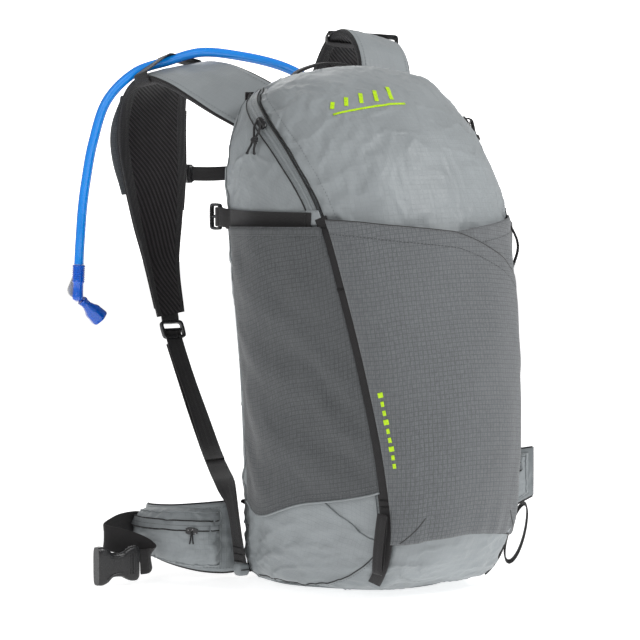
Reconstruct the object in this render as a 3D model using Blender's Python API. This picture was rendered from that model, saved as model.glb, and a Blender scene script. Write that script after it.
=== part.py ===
"""Hydration pack: a 22 litre daypack with a 2 litre reservoir, drinking tube, harness and hip belt.

Metres, +Z up. The pack stands on its flat base at Z = 0. The wearer is on the +Y side, the front
pocket faces -Y and the pack's own middle plane is X = 0. Lists of points are in millimetres.
"""
import math

import bmesh
import bpy
from mathutils import Matrix, Vector

MM = 0.001

# Driving dimensions
WALL = 4.0 * MM  # padded fabric wall of the bag
WEBBING = 1.8 * MM  # thickness of every webbing
STRAP_WEB = 20.0 * MM  # compression and shoulder webbing width
BELT_WEB = 25.0 * MM  # hip belt webbing width
FRONT_WEB = 10.0 * MM  # front strap width
CLEAR = 1.6 * MM  # how far sewn-on pieces stand off the curved bag wall
TUBE_R = 5.0 * MM  # outer radius of the drinking tube
FLAP_HINGE = Vector((0.0, -192.0 * MM, 372.0 * MM))

# The bag's left half as five guide lines, from the base (first row) to the top (last row):
# back edge, side, strap edge, front, front centre.
GUIDES = (
    ((-92, 0, 0), (-92, -60, 0), (-56, -118, 0), (-32, -138, 0), (0, -144, 0)),
    ((-102, 0, 14), (-112, -75, 12), (-66, -172, 14), (-40, -196, 20), (0, -204, 24)),
    ((-107, 0, 60), (-122, -84, 58), (-71, -203, 60), (-42, -232, 66), (0, -240, 70)),
    ((-109, 0, 130), (-127, -86, 130), (-79, -204, 130), (-46, -238, 134), (0, -250, 138)),
    ((-113, 0, 210), (-131, -82, 210), (-88, -190, 210), (-54, -226, 212), (0, -240, 214)),
    ((-120, 0, 290), (-135, -76, 290), (-98, -170, 290), (-60, -204, 290), (0, -218, 290)),
    ((-126, 0, 368), (-136, -68, 370), (-109, -144, 372), (-66, -176, 374), (0, -190, 376)),
    ((-126, 0, 415), (-134, -52, 418), (-115, -102, 426), (-72, -142, 436), (0, -156, 440)),
    ((-121, 0, 450), (-127, -34, 452), (-115, -64, 458), (-74, -98, 474), (0, -112, 482)),
    ((-110, 0, 474), (-113, -16, 476), (-107, -30, 481), (-73, -56, 498), (0, -66, 506)),
    ((-92, 0, 490), (-92, -4, 492), (-88, -9, 495), (-60, -16, 506), (0, -22, 512)),
)
TOP = len(GUIDES) - 1
SIDES = 4  # guide steps from the front centre to either back edge
STRAP_EDGE = 2  # guide steps from the front centre to the strap edge
# Where the flap parts from the bag, seen from the side: Y and Z along the zip
FLAP_LINE = ((-144, 372), (-102, 426), (-64, 458), (-30, 481), (-9, 495))

COLOURS = {
    "light": ((0.33, 0.35, 0.36), 0.55, 0.0),
    "dark": ((0.15, 0.16, 0.17), 0.75, 0.0),
    "mesh": ((0.03, 0.028, 0.03), 0.9, 0.0),
    "webbing": ((0.02, 0.018, 0.02), 0.7, 0.0),
    "plastic": ((0.015, 0.015, 0.016), 0.35, 0.0),
    "blue": ((0.0, 0.25, 0.85), 0.2, 0.0),
    "valve": ((0.55, 0.56, 0.56), 0.35, 0.0),
    "clear": ((0.5, 0.65, 0.8), 0.15, 0.0),
    "board": ((0.08, 0.08, 0.085), 0.5, 0.0),
}


def mm(x, y, z):
    return Vector((x, y, z)) * MM


def smooth(points, at):
    """Point at parameter `at` on the smooth open curve through the points."""
    last = len(points) - 1
    at = min(max(at, 0.0), float(last))
    i = min(int(at), last - 1)
    f = at - i
    b, c = Vector(points[i]), Vector(points[i + 1])
    a = Vector(points[i - 1]) if i > 0 else b * 2 - c
    d = Vector(points[i + 2]) if i + 2 <= last else c * 2 - b
    return 0.5 * (
        b * 2 + (c - a) * f + (a * 2 - b * 5 + c * 4 - d) * f * f + (b * 3 - a - c * 3 + d) * f * f * f
    )


def route(points, count):
    """`count` points in metres along the smooth curve through points given in millimetres."""
    last = len(points) - 1
    return [smooth(points, last * i / (count - 1)) * MM for i in range(count)]


def skin(t, s):
    """Point of the bag's outer surface: t up the guides, s from -4 (back left) to 4 (back right)."""
    half = [smooth([row[k] for row in GUIDES], t) for k in range(SIDES + 1)]
    other = [Vector((-p.x, p.y, p.z)) for p in reversed(half[:-1])]
    return smooth(half + other, s + SIDES) * MM


def outward(t, s):
    """Unit normal of the bag's surface, pointing out."""
    step = 0.05
    across = skin(t, min(s + step, SIDES)) - skin(t, max(s - step, -SIDES))
    up = skin(min(t + step, TOP), s) - skin(max(t - step, 0), s)
    return across.cross(up).normalized()


def off_skin(t, s, distance):
    return skin(t, s) + outward(t, s) * distance


def height_t(z, s=0.0):
    """Guide parameter where the surface line s reaches height z (metres)."""
    low, high = 0.0, float(TOP)
    for _ in range(30):
        middle = (low + high) / 2
        if skin(middle, s).z < z:
            low = middle
        else:
            high = middle
    return (low + high) / 2


def clear_scene():
    for thing in list(bpy.data.objects):
        bpy.data.objects.remove(thing, do_unlink=True)


def material(name):
    found = bpy.data.materials.get(name)
    if found:
        return found
    colour, rough, metal = COLOURS[name]
    made = bpy.data.materials.new(name)
    made.use_nodes = True
    shader = made.node_tree.nodes["Principled BSDF"]
    shader.inputs["Base Color"].default_value = (*colour, 1.0)
    shader.inputs["Roughness"].default_value = rough
    shader.inputs["Metallic"].default_value = metal
    return made


def add(name, verts, faces, look, origin=None, sharp=35.0):
    """A closed mesh object from world points; its origin is moved to `origin` where one is given."""
    base = Vector(origin) if origin is not None else Vector((0, 0, 0))
    mesh = bpy.data.meshes.new(name)
    mesh.from_pydata([tuple(Vector(v) - base) for v in verts], [], faces)
    work = bmesh.new()
    work.from_mesh(mesh)
    bmesh.ops.remove_doubles(work, verts=work.verts, dist=1e-6)
    bmesh.ops.recalc_face_normals(work, faces=work.faces)
    if work.calc_volume(signed=True) < 0:
        bmesh.ops.reverse_faces(work, faces=work.faces)
    work.to_mesh(mesh)
    work.free()
    mesh.shade_smooth()
    mesh.set_sharp_from_angle(angle=math.radians(sharp))
    mesh.materials.append(material(look))
    thing = bpy.data.objects.new(name, mesh)
    thing.location = base
    bpy.context.collection.objects.link(thing)
    return thing


def loft(name, rings, look, origin=None, closed=False, sharp=35.0):
    """Solid through rings of equally many points, capped at both ends unless the loft closes."""
    n = len(rings[0])
    verts = [p for ring in rings for p in ring]
    faces = []
    spans = len(rings) if closed else len(rings) - 1
    for i in range(spans):
        a, b = i * n, ((i + 1) % len(rings)) * n
        for k in range(n):
            m = (k + 1) % n
            faces.append((a + k, a + m, b + m, b + k))
    if not closed:
        faces.append(tuple(range(n - 1, -1, -1)))
        faces.append(tuple(range((len(rings) - 1) * n, len(rings) * n)))
    return add(name, verts, faces, look, origin, sharp)


def box(name, low, high, look, origin=None, bevel=0.0):
    """Block between two corners in millimetres, with its edges rounded by `bevel` metres."""
    low, high = mm(*low), mm(*high)
    rings = [
        [
            Vector((low.x, low.y, z)),
            Vector((high.x, low.y, z)),
            Vector((high.x, high.y, z)),
            Vector((low.x, high.y, z)),
        ]
        for z in (low.z, high.z)
    ]
    thing = loft(name, rings, look, origin)
    if bevel:
        soften(thing, bevel)
    return thing


def soften(thing, width, segments=2):
    rounding = thing.modifiers.new("rounding", "BEVEL")
    rounding.width = width
    rounding.segments = segments
    rounding.limit_method = "ANGLE"


def band(name, points, widths, thickness, across, look, origin=None, closed=False):
    """Flat band swept along world points. `across` is the width direction, one or one a point."""
    count = len(points)
    if not isinstance(across, list):
        across = [Vector(across)] * count
    if not isinstance(widths, list):
        widths = [widths] * count
    if not isinstance(thickness, list):
        thickness = [thickness] * count
    rings = []
    for i, p in enumerate(points):
        before = points[i - 1] if i > 0 or closed else points[0]
        after = points[(i + 1) % count] if i + 1 < count or closed else points[-1]
        along = (after - before).normalized()
        side = across[i] - along * across[i].dot(along)
        side = side.normalized() * widths[i] / 2
        up = along.cross(side).normalized() * thickness[i] / 2
        rings.append([p - side - up, p + side - up, p + side + up, p - side + up])
    return loft(name, rings, look, origin, closed)


def turned(name, centre, axis, profile, look, origin=None, sides=20):
    """Solid of revolution: profile rows are (distance along the axis, radius) in metres."""
    axis = Vector(axis).normalized()
    turn = Vector((0, 0, 1)).rotation_difference(axis)
    rings = []
    for along, radius in profile:
        ring = []
        for k in range(sides):
            angle = 2 * math.pi * k / sides
            ring.append(
                Vector(centre)
                + turn @ Vector((radius * math.cos(angle), radius * math.sin(angle), along))
            )
        rings.append(ring)
    return loft(name, rings, look, origin)


def ring_piece(name, centre, axis, inner, outer, length, look, origin=None, sides=24):
    """Collar with a round hole right through it."""
    axis = Vector(axis).normalized()
    turn = Vector((0, 0, 1)).rotation_difference(axis)
    rings = []
    for k in range(sides):
        angle = 2 * math.pi * k / sides
        spoke = turn @ Vector((math.cos(angle), math.sin(angle), 0))
        rings.append(
            [
                Vector(centre) + spoke * inner - axis * length / 2,
                Vector(centre) + spoke * outer - axis * length / 2,
                Vector(centre) + spoke * outer + axis * length / 2,
                Vector(centre) + spoke * inner + axis * length / 2,
            ]
        )
    return loft(name, rings, look, origin, closed=True)


def tube(name, points, look, count):
    """Hose along a smooth route, as a curve with filled ends."""
    data = bpy.data.curves.new(name, "CURVE")
    data.dimensions = "3D"
    data.bevel_depth = TUBE_R
    data.bevel_resolution = 2
    data.use_fill_caps = True
    line = data.splines.new("POLY")
    places = route(points, count)
    line.points.add(len(places) - 1)
    for point, place in zip(line.points, places):
        point.co = (*place, 1.0)
    data.materials.append(material(look))
    thing = bpy.data.objects.new(name, data)
    bpy.context.collection.objects.link(thing)
    return thing


def hidden(thing):
    thing.hide_render = True
    thing.display_type = "WIRE"
    return thing


def cut(thing, tool, how="DIFFERENCE"):
    step = thing.modifiers.new(how.lower(), "BOOLEAN")
    step.operation = how
    step.object = tool
    step.solver = "EXACT"


# --- the bag -------------------------------------------------------------------------------------


def lump(name, inset, ribs, steps):
    """The bag's whole outer volume, or the same volume shrunk by `inset` on every side."""
    rings = []
    for i in range(ribs + 1):
        t = TOP * i / ribs
        ring = []
        for k in range(steps + 1):
            s = -SIDES + 2 * SIDES * k / steps
            p = skin(t, s) - outward(t, s) * inset
            p.y = min(p.y, -inset)
            p.z = max(p.z, inset)
            ring.append(p)
        if i == 0:
            for p in ring:
                p.z = inset
        rings.append(ring)
    return loft(name, rings, "light", sharp=50.0)


def flap_prism(name, shift_y, shift_z):
    """Everything in front of and above the flap line, as a block right across the bag."""
    half_width, front, over = 200, -330, 600
    outline = [(front, FLAP_LINE[0][1] + shift_z)]
    outline += [(y + shift_y, z + shift_z) for y, z in FLAP_LINE]
    outline += [(FLAP_LINE[-1][0] + shift_y, over), (front, over)]
    rings = [[mm(x, y, z) for y, z in outline] for x in (-half_width, half_width)]
    return hidden(loft(name, rings, "light"))


def make_bag():
    outer = lump("main_shell", 0.0, 26, 32)
    inner = hidden(lump("inner_volume", WALL, 20, 24))
    cut(outer, inner)
    cut(outer, flap_prism("flap_cut", 0.0, 0.0))
    port = turned("port_hole", PORT_HOLE_START, PORT_AXIS, PORT_HOLE_PROFILE, "light")
    cut(outer, hidden(port))
    flap = lump("top_flap", 0.0, 26, 32)
    for vertex in flap.data.vertices:
        vertex.co -= FLAP_HINGE
    flap.location = FLAP_HINGE
    cut(flap, inner)
    cut(flap, flap_prism("flap_keep", -0.4, 0.5), "INTERSECT")


def patch(name, t0, t1, s0, s1, lift, thickness, look, rows=14, columns=12):
    """Panel that follows the bag. `lift(f, g)` is its stand-off at fractions f up and g across."""
    outer, inner = [], []
    for i in range(rows + 1):
        f = i / rows
        for k in range(columns + 1):
            g = k / columns
            t, s = t0(g) + (t1(g) - t0(g)) * f, s0 + (s1 - s0) * g
            base, n = skin(t, s), outward(t, s)
            inner.append(base + n * lift(f, g))
            outer.append(base + n * (lift(f, g) + thickness))
    verts = outer + inner
    shift, wide, faces = len(outer), columns + 1, []
    for i in range(rows):
        for k in range(columns):
            a = i * wide + k
            faces.append((a, a + 1, a + 1 + wide, a + wide))
            faces.append((shift + a, shift + a + wide, shift + a + wide + 1, shift + a + 1))
    rim = [k for k in range(wide)]
    rim += [i * wide + columns for i in range(1, rows + 1)]
    rim += [rows * wide + k for k in range(columns - 1, -1, -1)]
    rim += [i * wide for i in range(rows - 1, 0, -1)]
    for a, b in zip(rim, rim[1:] + rim[:1]):
        faces.append((a, shift + a, shift + b, b))
    return add(name, verts, faces, look)


def make_front_pocket():
    """Stretch pocket across the front: sewn down at its sides and base, open along its V-shaped top."""
    low, high, dip, gape = 1.95, 5.88, 0.22, 12 * MM

    def top(g):
        return high - dip * (1 - abs(2 * g - 1))

    def lift(f, g):
        return CLEAR + gape * (math.sin(math.pi * g) ** 0.7) * f**1.5

    patch("front_pocket", lambda g: low, top, -1.8, 1.8, lift, 2.0 * MM, "dark", 14, 14)


def make_side_pockets():
    """Stretch side pockets: sewn at the edges and base, open under the compression strap."""
    gape = 13 * MM

    def lift(f, g):
        return CLEAR + gape * (math.sin(math.pi * g) ** 0.7) * f**1.2

    def low_left(g):
        return 2.35 + 0.35 * g**2

    def low_right(g):
        return low_left(1 - g)

    def top(g):
        return 5.66

    back, front = 3.75, 2.2
    patch("side_pocket_left", low_left, top, -back, -front, lift, 1.6 * MM, "dark", 12, 10)
    patch("side_pocket_right", low_right, top, front, back, lift, 1.6 * MM, "dark", 12, 10)


def beside_zip(t, distance):
    """Surface parameter on the left side panel, `distance` from the zip along the surface."""
    span = (skin(t, -2.0) - skin(t, -3.0)).length
    return -STRAP_EDGE - distance / span


def mirrored(points):
    return [Vector((-p.x, p.y, p.z)) for p in points]


def make_zips():
    low, high, count = 6.05, 9.45, 16
    ts = [low + (high - low) * i / (count - 1) for i in range(count)]
    track = [off_skin(t, beside_zip(t, 6 * MM), CLEAR) for t in ts]
    sideways = [skin(t, beside_zip(t, 9 * MM)) - skin(t, beside_zip(t, 3 * MM)) for t in ts]
    band("zip_track_left", track, 6 * MM, 1.4 * MM, sideways, "webbing")
    band(
        "zip_track_right", mirrored(track), 6 * MM, 1.4 * MM, mirrored(sideways), "webbing"
    )
    for name, side in (("left", 1), ("right", -1)):
        flip = Vector((side, 1, 1))
        at = off_skin(ZIP_T, beside_zip(ZIP_T, 6 * MM), CLEAR + 4.2 * MM)
        along = ZIP_WAY
        across = skin(ZIP_T, beside_zip(ZIP_T, 9 * MM)) - skin(ZIP_T, beside_zip(ZIP_T, 3 * MM))
        at, along, across = (Vector(v) * flip for v in (at, along, across))
        ends = [at - along * 7 * MM, at - along * 3 * MM, at + along * 4 * MM, at + along * 7 * MM]
        band(f"zip_slider_{name}", ends, [5 * MM, 9 * MM, 9 * MM, 6 * MM], 3.6 * MM, across, "plastic")
        low_end = off_skin(7.2, beside_zip(7.2, 34 * MM), 9 * MM) * flip
        start = off_skin(ZIP_T, beside_zip(ZIP_T, 6 * MM), CLEAR + 8.4 * MM) * flip
        pull = [start + (low_end - start) * f for f in (0.0, 0.35, 0.7, 1.0)]
        band(f"zip_pull_{name}", pull, [3 * MM, 3 * MM, 6 * MM, 6 * MM], 3 * MM, across, "webbing", start)


# --- straps on the bag -----------------------------------------------------------------------------


def frame_piece(name, centre, right, up, size, hole, depth, look, origin=None):
    """Rectangular ring: width and height `size`, with a hole of width and height `hole`."""
    right, up = Vector(right).normalized(), Vector(up).normalized()
    through = right.cross(up).normalized() * depth / 2
    rings = []
    for x, y in ((-1, -1), (1, -1), (1, 1), (-1, 1)):
        outer = Vector(centre) + right * x * size[0] / 2 + up * y * size[1] / 2
        inner = Vector(centre) + right * x * hole[0] / 2 + up * y * hole[1] / 2
        rings.append([inner - through, outer - through, outer + through, inner + through])
    return loft(name, rings, look, origin, closed=True)


def make_side_straps():
    """Compression strap round each side, with its ladder lock at the back corner."""
    z, count = 364 * MM, 14
    path = []
    for i in range(count):
        s = -3.96 + (3.96 - 2.2) * i / (count - 1)
        path.append(off_skin(height_t(z, s), s, CLEAR))
    up = Vector((0, 0, 1))
    lock = mm(-133.5, 10, 366)
    for name, side in (("left", 1), ("right", -1)):
        flip = Vector((side, 1, 1))
        band(f"compression_strap_{name}", [p * flip for p in path], STRAP_WEB, WEBBING, up, "webbing")
        frame_piece(
            f"compression_lock_{name}",
            lock * flip,
            (0, 1, 0),
            up,
            (22 * MM, 27 * MM),
            (11 * MM, 20.6 * MM),
            4.5 * MM,
            "plastic",
            mm(-133.5, 0, 366) * flip,
        )


def front_strap_path(side, bow):
    """The vertical strap along the strap edge; `bow` is how far its top stands off as a gear loop."""
    top_z, low_z, count = 369, 16, 30
    path = []
    for i in range(count):
        z = (low_z + (top_z - low_z) * i / (count - 1)) * MM
        t = height_t(z, side * STRAP_EDGE)
        loop = math.sin(math.pi * min(max((z - 305 * MM) / (64 * MM), 0), 1)) ** 2
        path.append(off_skin(t, side * STRAP_EDGE, CLEAR + bow * loop))
    return path


def make_front_straps():
    for name, side, bow in (("left", -1, 0.0), ("right", 1, 9 * MM)):
        path = front_strap_path(side, bow)
        ts = [height_t(p.z, side * STRAP_EDGE) for p in path]
        sideways = [skin(t, side * 2.2) - skin(t, side * 1.8) for t in ts]
        band(f"front_strap_{name}", path, FRONT_WEB, WEBBING, sideways, "webbing")
    make_pole_loops()


def make_pole_loops():
    """Tool loops at the foot of the front straps: the left one lies flat, the right one hangs open."""
    for name, side, belly in (("left", -1, 3.2), ("right", 1, 8.0)):
        top_t = height_t(88 * MM, side * STRAP_EDGE)
        low_t = height_t(30 * MM, side * STRAP_EDGE)
        hang_top = off_skin(top_t, side * STRAP_EDGE, CLEAR + 3 * MM)
        hang_low = off_skin(low_t, side * STRAP_EDGE, CLEAR + 3 * MM)
        out = outward((top_t + low_t) / 2, side * STRAP_EDGE)
        down = (hang_low - hang_top).normalized()
        half = (hang_low - hang_top).length / 2
        middle = (hang_top + hang_low) / 2 + out * (belly + 1) * MM
        ring = []
        for k in range(20):
            a = 2 * math.pi * k / 20
            ring.append(middle - down * half * math.cos(a) + out * belly * MM * math.sin(a))
        sideways = out.cross(down)
        band(f"pole_loop_{name}", ring, FRONT_WEB, 1.4 * MM, sideways, "webbing", hang_top, closed=True)


def make_haul_loop():
    points = [(-50, 5, 492), (-49, 5, 500), (-40, 5, 510), (-20, 5, 517), (0, 5, 519)]
    points += [(-x, y, z) for x, y, z in reversed(points[:-1])]
    band("haul_loop", route(points, 21), 8 * MM, 2.4 * MM, (0, 1, 0), "webbing", LOOP_HINGE)


# --- back panel, reservoir and tube --------------------------------------------------------------


def make_back():
    outline = [(-78, 84), (-91, 96), (-94, 160), (-98, 300), (-100, 380), (-91, 416), (-68, 436)]
    outline += [(-x, z) for x, z in reversed(outline)]
    face = [(0.3, 1.0), (6, 1.0), (12, 0.975), (15, 0.92)]
    middle = 270
    rings = []
    for y, scale in face:
        rings.append([mm(x * scale, y, middle + (z - middle) * scale) for x, z in outline])
    loft("back_panel", rings, "mesh")
    yoke = box("harness_yoke", (-104, 0.3, 468), (104, 7.5, 490), "dark", bevel=1.5 * MM)
    hole = turned("yoke_hole", PORT_HOLE_START, PORT_AXIS, PORT_HOLE_PROFILE, "light")
    cut(yoke, hidden(hole))
    box("frame_sheet", (-86, -6.2, 30), (86, -4.6, 440), "board", bevel=0.5 * MM)
    sleeve = box("reservoir_sleeve", (-90, -50, 6), (90, -6.8, 330), "dark")
    inside = box("sleeve_inside", (-88.5, -48.5, 7.5), (88.5, -8.3, 340), "dark")
    cut(sleeve, hidden(inside))


def make_reservoir():
    """Two litre bladder in its sleeve: bag, filling neck, screw cap and hose connector."""
    outline = [(-62, 22), (-76, 40), (-78, 180), (-74, 300), (-50, 322)]
    outline += [(-x, z) for x, z in reversed(outline)]
    middle = 170
    rings = []
    for y, scale in ((-10, 0.94), (-15, 1.0), (-24, 1.0), (-28, 0.92)):
        rings.append([mm(x * scale, y, middle + (z - middle) * scale) for x, z in outline])
    bladder = loft("reservoir", rings, "clear")
    front = Vector((0, -1, 0))
    neck_profile = [(0, 34 * MM), (9.3 * MM, 34 * MM)]
    neck = turned("filling_neck", mm(0, -26, 250), front, neck_profile, "blue", sides=32)
    cut(bladder, hidden(neck), "UNION")
    cap = CAP + Vector((0, -0.3, 0)) * MM
    profile = [(0, 37 * MM), (7 * MM, 37 * MM), (9 * MM, 34 * MM)]
    turned("reservoir_cap", cap, front, profile, "blue", CAP, sides=32)
    link = mm(-40, -28.3, 60)
    body = turned("quick_link", link, front, [(0, 8 * MM), (11 * MM, 8 * MM), (13 * MM, 6 * MM)], "plastic")
    recess = box("button_recess", (-43.4, -45, 56.6), (-36.6, -37.3, 63.4), "plastic")
    cut(body, hidden(recess))
    box("quick_link_button", (-43, -43.3, 57), (-37, -38.9, 63), "valve", mm(-40, -41.6, 60))


def make_tube():
    """The tube in two lengths: from the reservoir up to the port, and from the port to the valve."""
    ring_piece("hose_port", PORT, PORT_AXIS, TUBE_R + 0.6 * MM, 7.6 * MM, 18 * MM, "plastic")
    tube("supply_tube", SUPPLY_ROUTE, "blue", 32)
    tube("drinking_tube", TUBE_ROUTE, "blue", 44)
    down = TUBE_END_WAY
    collar = Vector(TUBE_ROUTE[-1]) * MM + down * 0.3 * MM
    barrel_profile = [(0, 5.6 * MM), (4 * MM, 6.4 * MM), (17 * MM, 6.4 * MM)]
    barrel_profile += [(19 * MM, 5.4 * MM), (31 * MM, 5.4 * MM)]
    barrel = turned("valve_barrel", collar, down, barrel_profile, "blue", collar)
    knee = collar + down * 32.6 * MM
    ball_r = 5.9 * MM
    bow = [(-ball_r * math.cos(math.pi * k / 8), ball_r * math.sin(math.pi * k / 8)) for k in range(1, 8)]
    cut(barrel, hidden(turned("elbow_ball", knee, down, bow, "blue")), "UNION")
    bite = BITE_WAY
    bite_profile = [(0, 5.2 * MM), (9 * MM, 5.2 * MM), (15 * MM, 8.6 * MM)]
    bite_profile += [(27 * MM, 10 * MM), (29 * MM, 9 * MM)]
    turned("bite_valve", knee + bite * 6.3 * MM, bite, bite_profile, "blue", knee + bite * 6.3 * MM)
    facing = down.cross(bite).normalized()
    hub = knee - down * 6 * MM - facing * 7.0 * MM
    make_lever(hub, facing, -down + bite * 0.25)


def make_lever(hub, facing, arm):
    """Teardrop lever: a round hub that turns on the valve and an arm that points up the tube."""
    arm = arm.normalized()
    across = arm.cross(facing).normalized()
    hub_r, tip_r, reach, thick = 7.8 * MM, 3.6 * MM, 24 * MM, 2.6 * MM
    outline = []
    for k in range(13):
        a = math.pi * (0.42 + 1.16 * k / 12)
        outline.append(arm * hub_r * math.cos(a) + across * hub_r * math.sin(a))
    for k in range(7):
        a = math.pi * (-0.42 + 0.84 * k / 6)
        outline.append(arm * (reach + tip_r * math.cos(a)) + across * tip_r * math.sin(a))
    rings = [[hub + p - facing * depth for p in outline] for depth in (0, thick)]
    loft("shutoff_lever", rings, "valve", hub)


# --- harness -------------------------------------------------------------------------------------


def strap_frames(points, sides, count):
    """Positions, width directions, outward face normals along a strap route (world metres)."""
    places = route(points, count)
    last = len(sides) - 1
    frames = []
    for i, p in enumerate(places):
        along = (places[min(i + 1, count - 1)] - places[max(i - 1, 0)]).normalized()
        side = smooth(sides, last * i / (count - 1))
        side = (side - along * side.dot(along)).normalized()
        frames.append((p, along, side, side.cross(along).normalized()))
    return frames


def spread(values, count):
    """`count` numbers read evenly from a short list."""
    last = len(values) - 1
    return [smooth([(v, 0, 0) for v in values], last * i / (count - 1)).x * MM for i in range(count)]


def make_shoulder_strap(name, side, points, sides):
    frames = strap_frames(points, sides, STRAP_STEPS)
    widths = spread(STRAP_WIDTHS, STRAP_STEPS)
    thick = spread(STRAP_THICKNESS, STRAP_STEPS)
    pivot = SWING_TOP * Vector((-side, 1, 1))
    places = [f[0] for f in frames]
    across = [f[2] for f in frames]
    band(f"shoulder_strap_{name}", places, widths, thick, across, "mesh", pivot)
    return frames


def keeper_ring(frame, strap_width, look="webbing"):
    """Elastic loop round the strap and the tube that lies on it."""
    p, along, side, out = frame
    half_w, half_h, raise_by = strap_width / 2 + 6 * MM, 19 * MM, 6 * MM
    ring = []
    for k in range(20):
        a = 2 * math.pi * k / 20
        c, d = math.cos(a), math.sin(a)
        x = math.copysign(abs(c) ** 0.5, c) * half_w
        y = math.copysign(abs(d) ** 0.5, d) * half_h
        ring.append(p + side * x + out * (y + raise_by))
    band("tube_keeper", ring, 14 * MM, 1.2 * MM, along, look, closed=True)


def make_harness():
    left = make_shoulder_strap("left", -1, STRAP_LEFT, STRAP_SIDES_LEFT)
    make_shoulder_strap("right", 1, STRAP_RIGHT, STRAP_SIDES_RIGHT)
    keeper_ring(left[KEEPER_AT], spread(STRAP_WIDTHS, STRAP_STEPS)[KEEPER_AT])
    pocket = left[14:20]
    places = [p - side * 6 * MM + out * 9.5 * MM for p, _, side, out in pocket]
    across = [f[2] for f in pocket]
    band("strap_pocket_left", places, spread((56, 74, 74, 60), 6), spread((4, 7, 7, 4), 6), across, "light")
    for name, side in (("left", -1), ("right", 1)):
        flip = Vector((-side, 1, 1))
        down = (mm(-87, 150, 186) - LOCK).normalized()
        frame_piece(
            f"strap_lock_{name}",
            LOCK * flip,
            (1, 0, 0),
            down * flip,
            (28 * MM, 24 * MM),
            (20.5 * MM, 10 * MM),
            4.5 * MM,
            "plastic",
            (LOCK - down * 12 * MM) * flip,
        )
        web = [p * flip for p in route(WEB_ROUTE, 22)]
        last = len(WEB_SIDES) - 1
        across = [smooth(WEB_SIDES, last * i / 21) * flip for i in range(22)]
        band(f"strap_webbing_{name}", web, STRAP_WEB, WEBBING, across, "webbing")
        low, high = (-120, -9, 4), (-106, 4, 16.4)
        if side > 0:
            low, high = (106, -9, 4), (120, 4, 16.4)
        box(f"lower_anchor_{name}", low, high, "light", bevel=1.0 * MM)
    make_sternum()


def make_sternum():
    y, z = STERNUM.y / MM, STERNUM.z / MM
    for name, side in (("left", -1), ("right", 1)):
        near, far = sorted((side * 58.5, side * 65))
        box(f"sternum_clip_{name}", (near, y - 5, z - 10), (far, y + 5, z + 10), "plastic", bevel=0.8 * MM)
        near, far = sorted((side * 12, side * (58 if side < 0 else 55.5)))
        box(f"sternum_webbing_{name}", (near, y - 0.9, z - 7.5), (far, y + 0.9, z + 7.5), "webbing")
    box("sternum_buckle", (-11.6, y - 5, z - 11), (11.6, y + 5, z + 11), "plastic", bevel=1.5 * MM)


# --- hip belt ------------------------------------------------------------------------------------


def wing_frames(points, side, count):
    """Positions, tangents and outer normals along a wing's middle line; side is -1 left, 1 right."""
    places = route(points, count)
    frames = []
    for i, p in enumerate(places):
        along = (places[min(i + 1, count - 1)] - places[max(i - 1, 0)]).normalized()
        frames.append((p, along, along.cross(Vector((0, 0, side))).normalized()))
    return frames


def make_wing(name, side, points, heights, hinge):
    count = 19
    frames = wing_frames(points, side, count)
    up = Vector((0, 0, 1))
    places = [f[0] for f in frames]
    thick = spread((5, 12, 12, 11, 9, 6), count)
    band(f"hip_wing_{name}", places, spread(heights, count), thick, up, "light", hinge)
    first, last = 6, 15
    part = frames[first : last + 1]
    n = len(part)
    outer = [p + out * 14.2 * MM for p, _, out in part]
    tall = spread((40, 44, 42, 34), n)
    pocket = band(f"hip_pocket_{name}", outer, tall, 13 * MM, up, "light", hinge)
    inner_part = [p + out * 14.2 * MM + up * 4 * MM for p, _, out in part[1:-1]]
    hollow = band(f"hip_hollow_{name}", inner_part, spread((40, 42, 38), n - 2), 9.4 * MM, up, "light")
    cut(pocket, hidden(hollow))
    at, along, out = part[2]
    spot = at + out * 23.2 * MM + up * 9 * MM
    ends = [spot + along * d * MM for d in (-6, -2, 3, 6)]
    band(f"hip_slider_{name}", ends, [4 * MM, 7 * MM, 7 * MM, 5 * MM], 2.6 * MM, up, "plastic")


def make_hip_belt():
    make_wing("left", -1, WING_LEFT, (72, 72, 68, 60, 52, 44), WING_HINGE)
    make_wing("right", 1, WING_RIGHT, (72, 72, 70, 66, 60, 52), WING_HINGE * Vector((-1, 1, 1)))
    up = Vector((0, 0, 1))
    band("belt_webbing_left", route(BELT_LEFT, 34), BELT_WEB, WEBBING, up, "webbing")
    slant = MALE_WAY
    band("belt_webbing_right", route(BELT_RIGHT, 12), BELT_WEB, WEBBING, slant, "webbing")
    rings = []
    for x, tall, thick in BUCKLE_FEMALE:
        c = BUCKLE + Vector((-x, 0, 0)) * MM
        h, w = tall / 2 * MM, thick / 2 * MM
        rings.append([c + Vector((0, a * w, b * h)) for a, b in ((-1, -1), (1, -1), (1, 1), (-1, 1))])
    female = loft("buckle_female", rings, "plastic", BUCKLE)
    x0, y0, z0 = BUCKLE / MM
    mouth = box("buckle_mouth", (x0 - 60, y0 - 3, z0 - 11), (x0 - 30, y0 + 3, z0 + 11), "plastic")
    cut(female, hidden(mouth))
    make_male_buckle()
    pad = [(-92, 6), (-103, 14), (-103, 70), (-94, 80)]
    pad += [(-x, z) for x, z in reversed(pad)]
    middle = 43
    rings = []
    for y, scale in ((0.3, 1.0), (14, 1.0), (20, 0.93)):
        rings.append([mm(x * scale, y, middle + (z - middle) * scale) for x, z in pad])
    loft("lumbar_pad", rings, "mesh")


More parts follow.
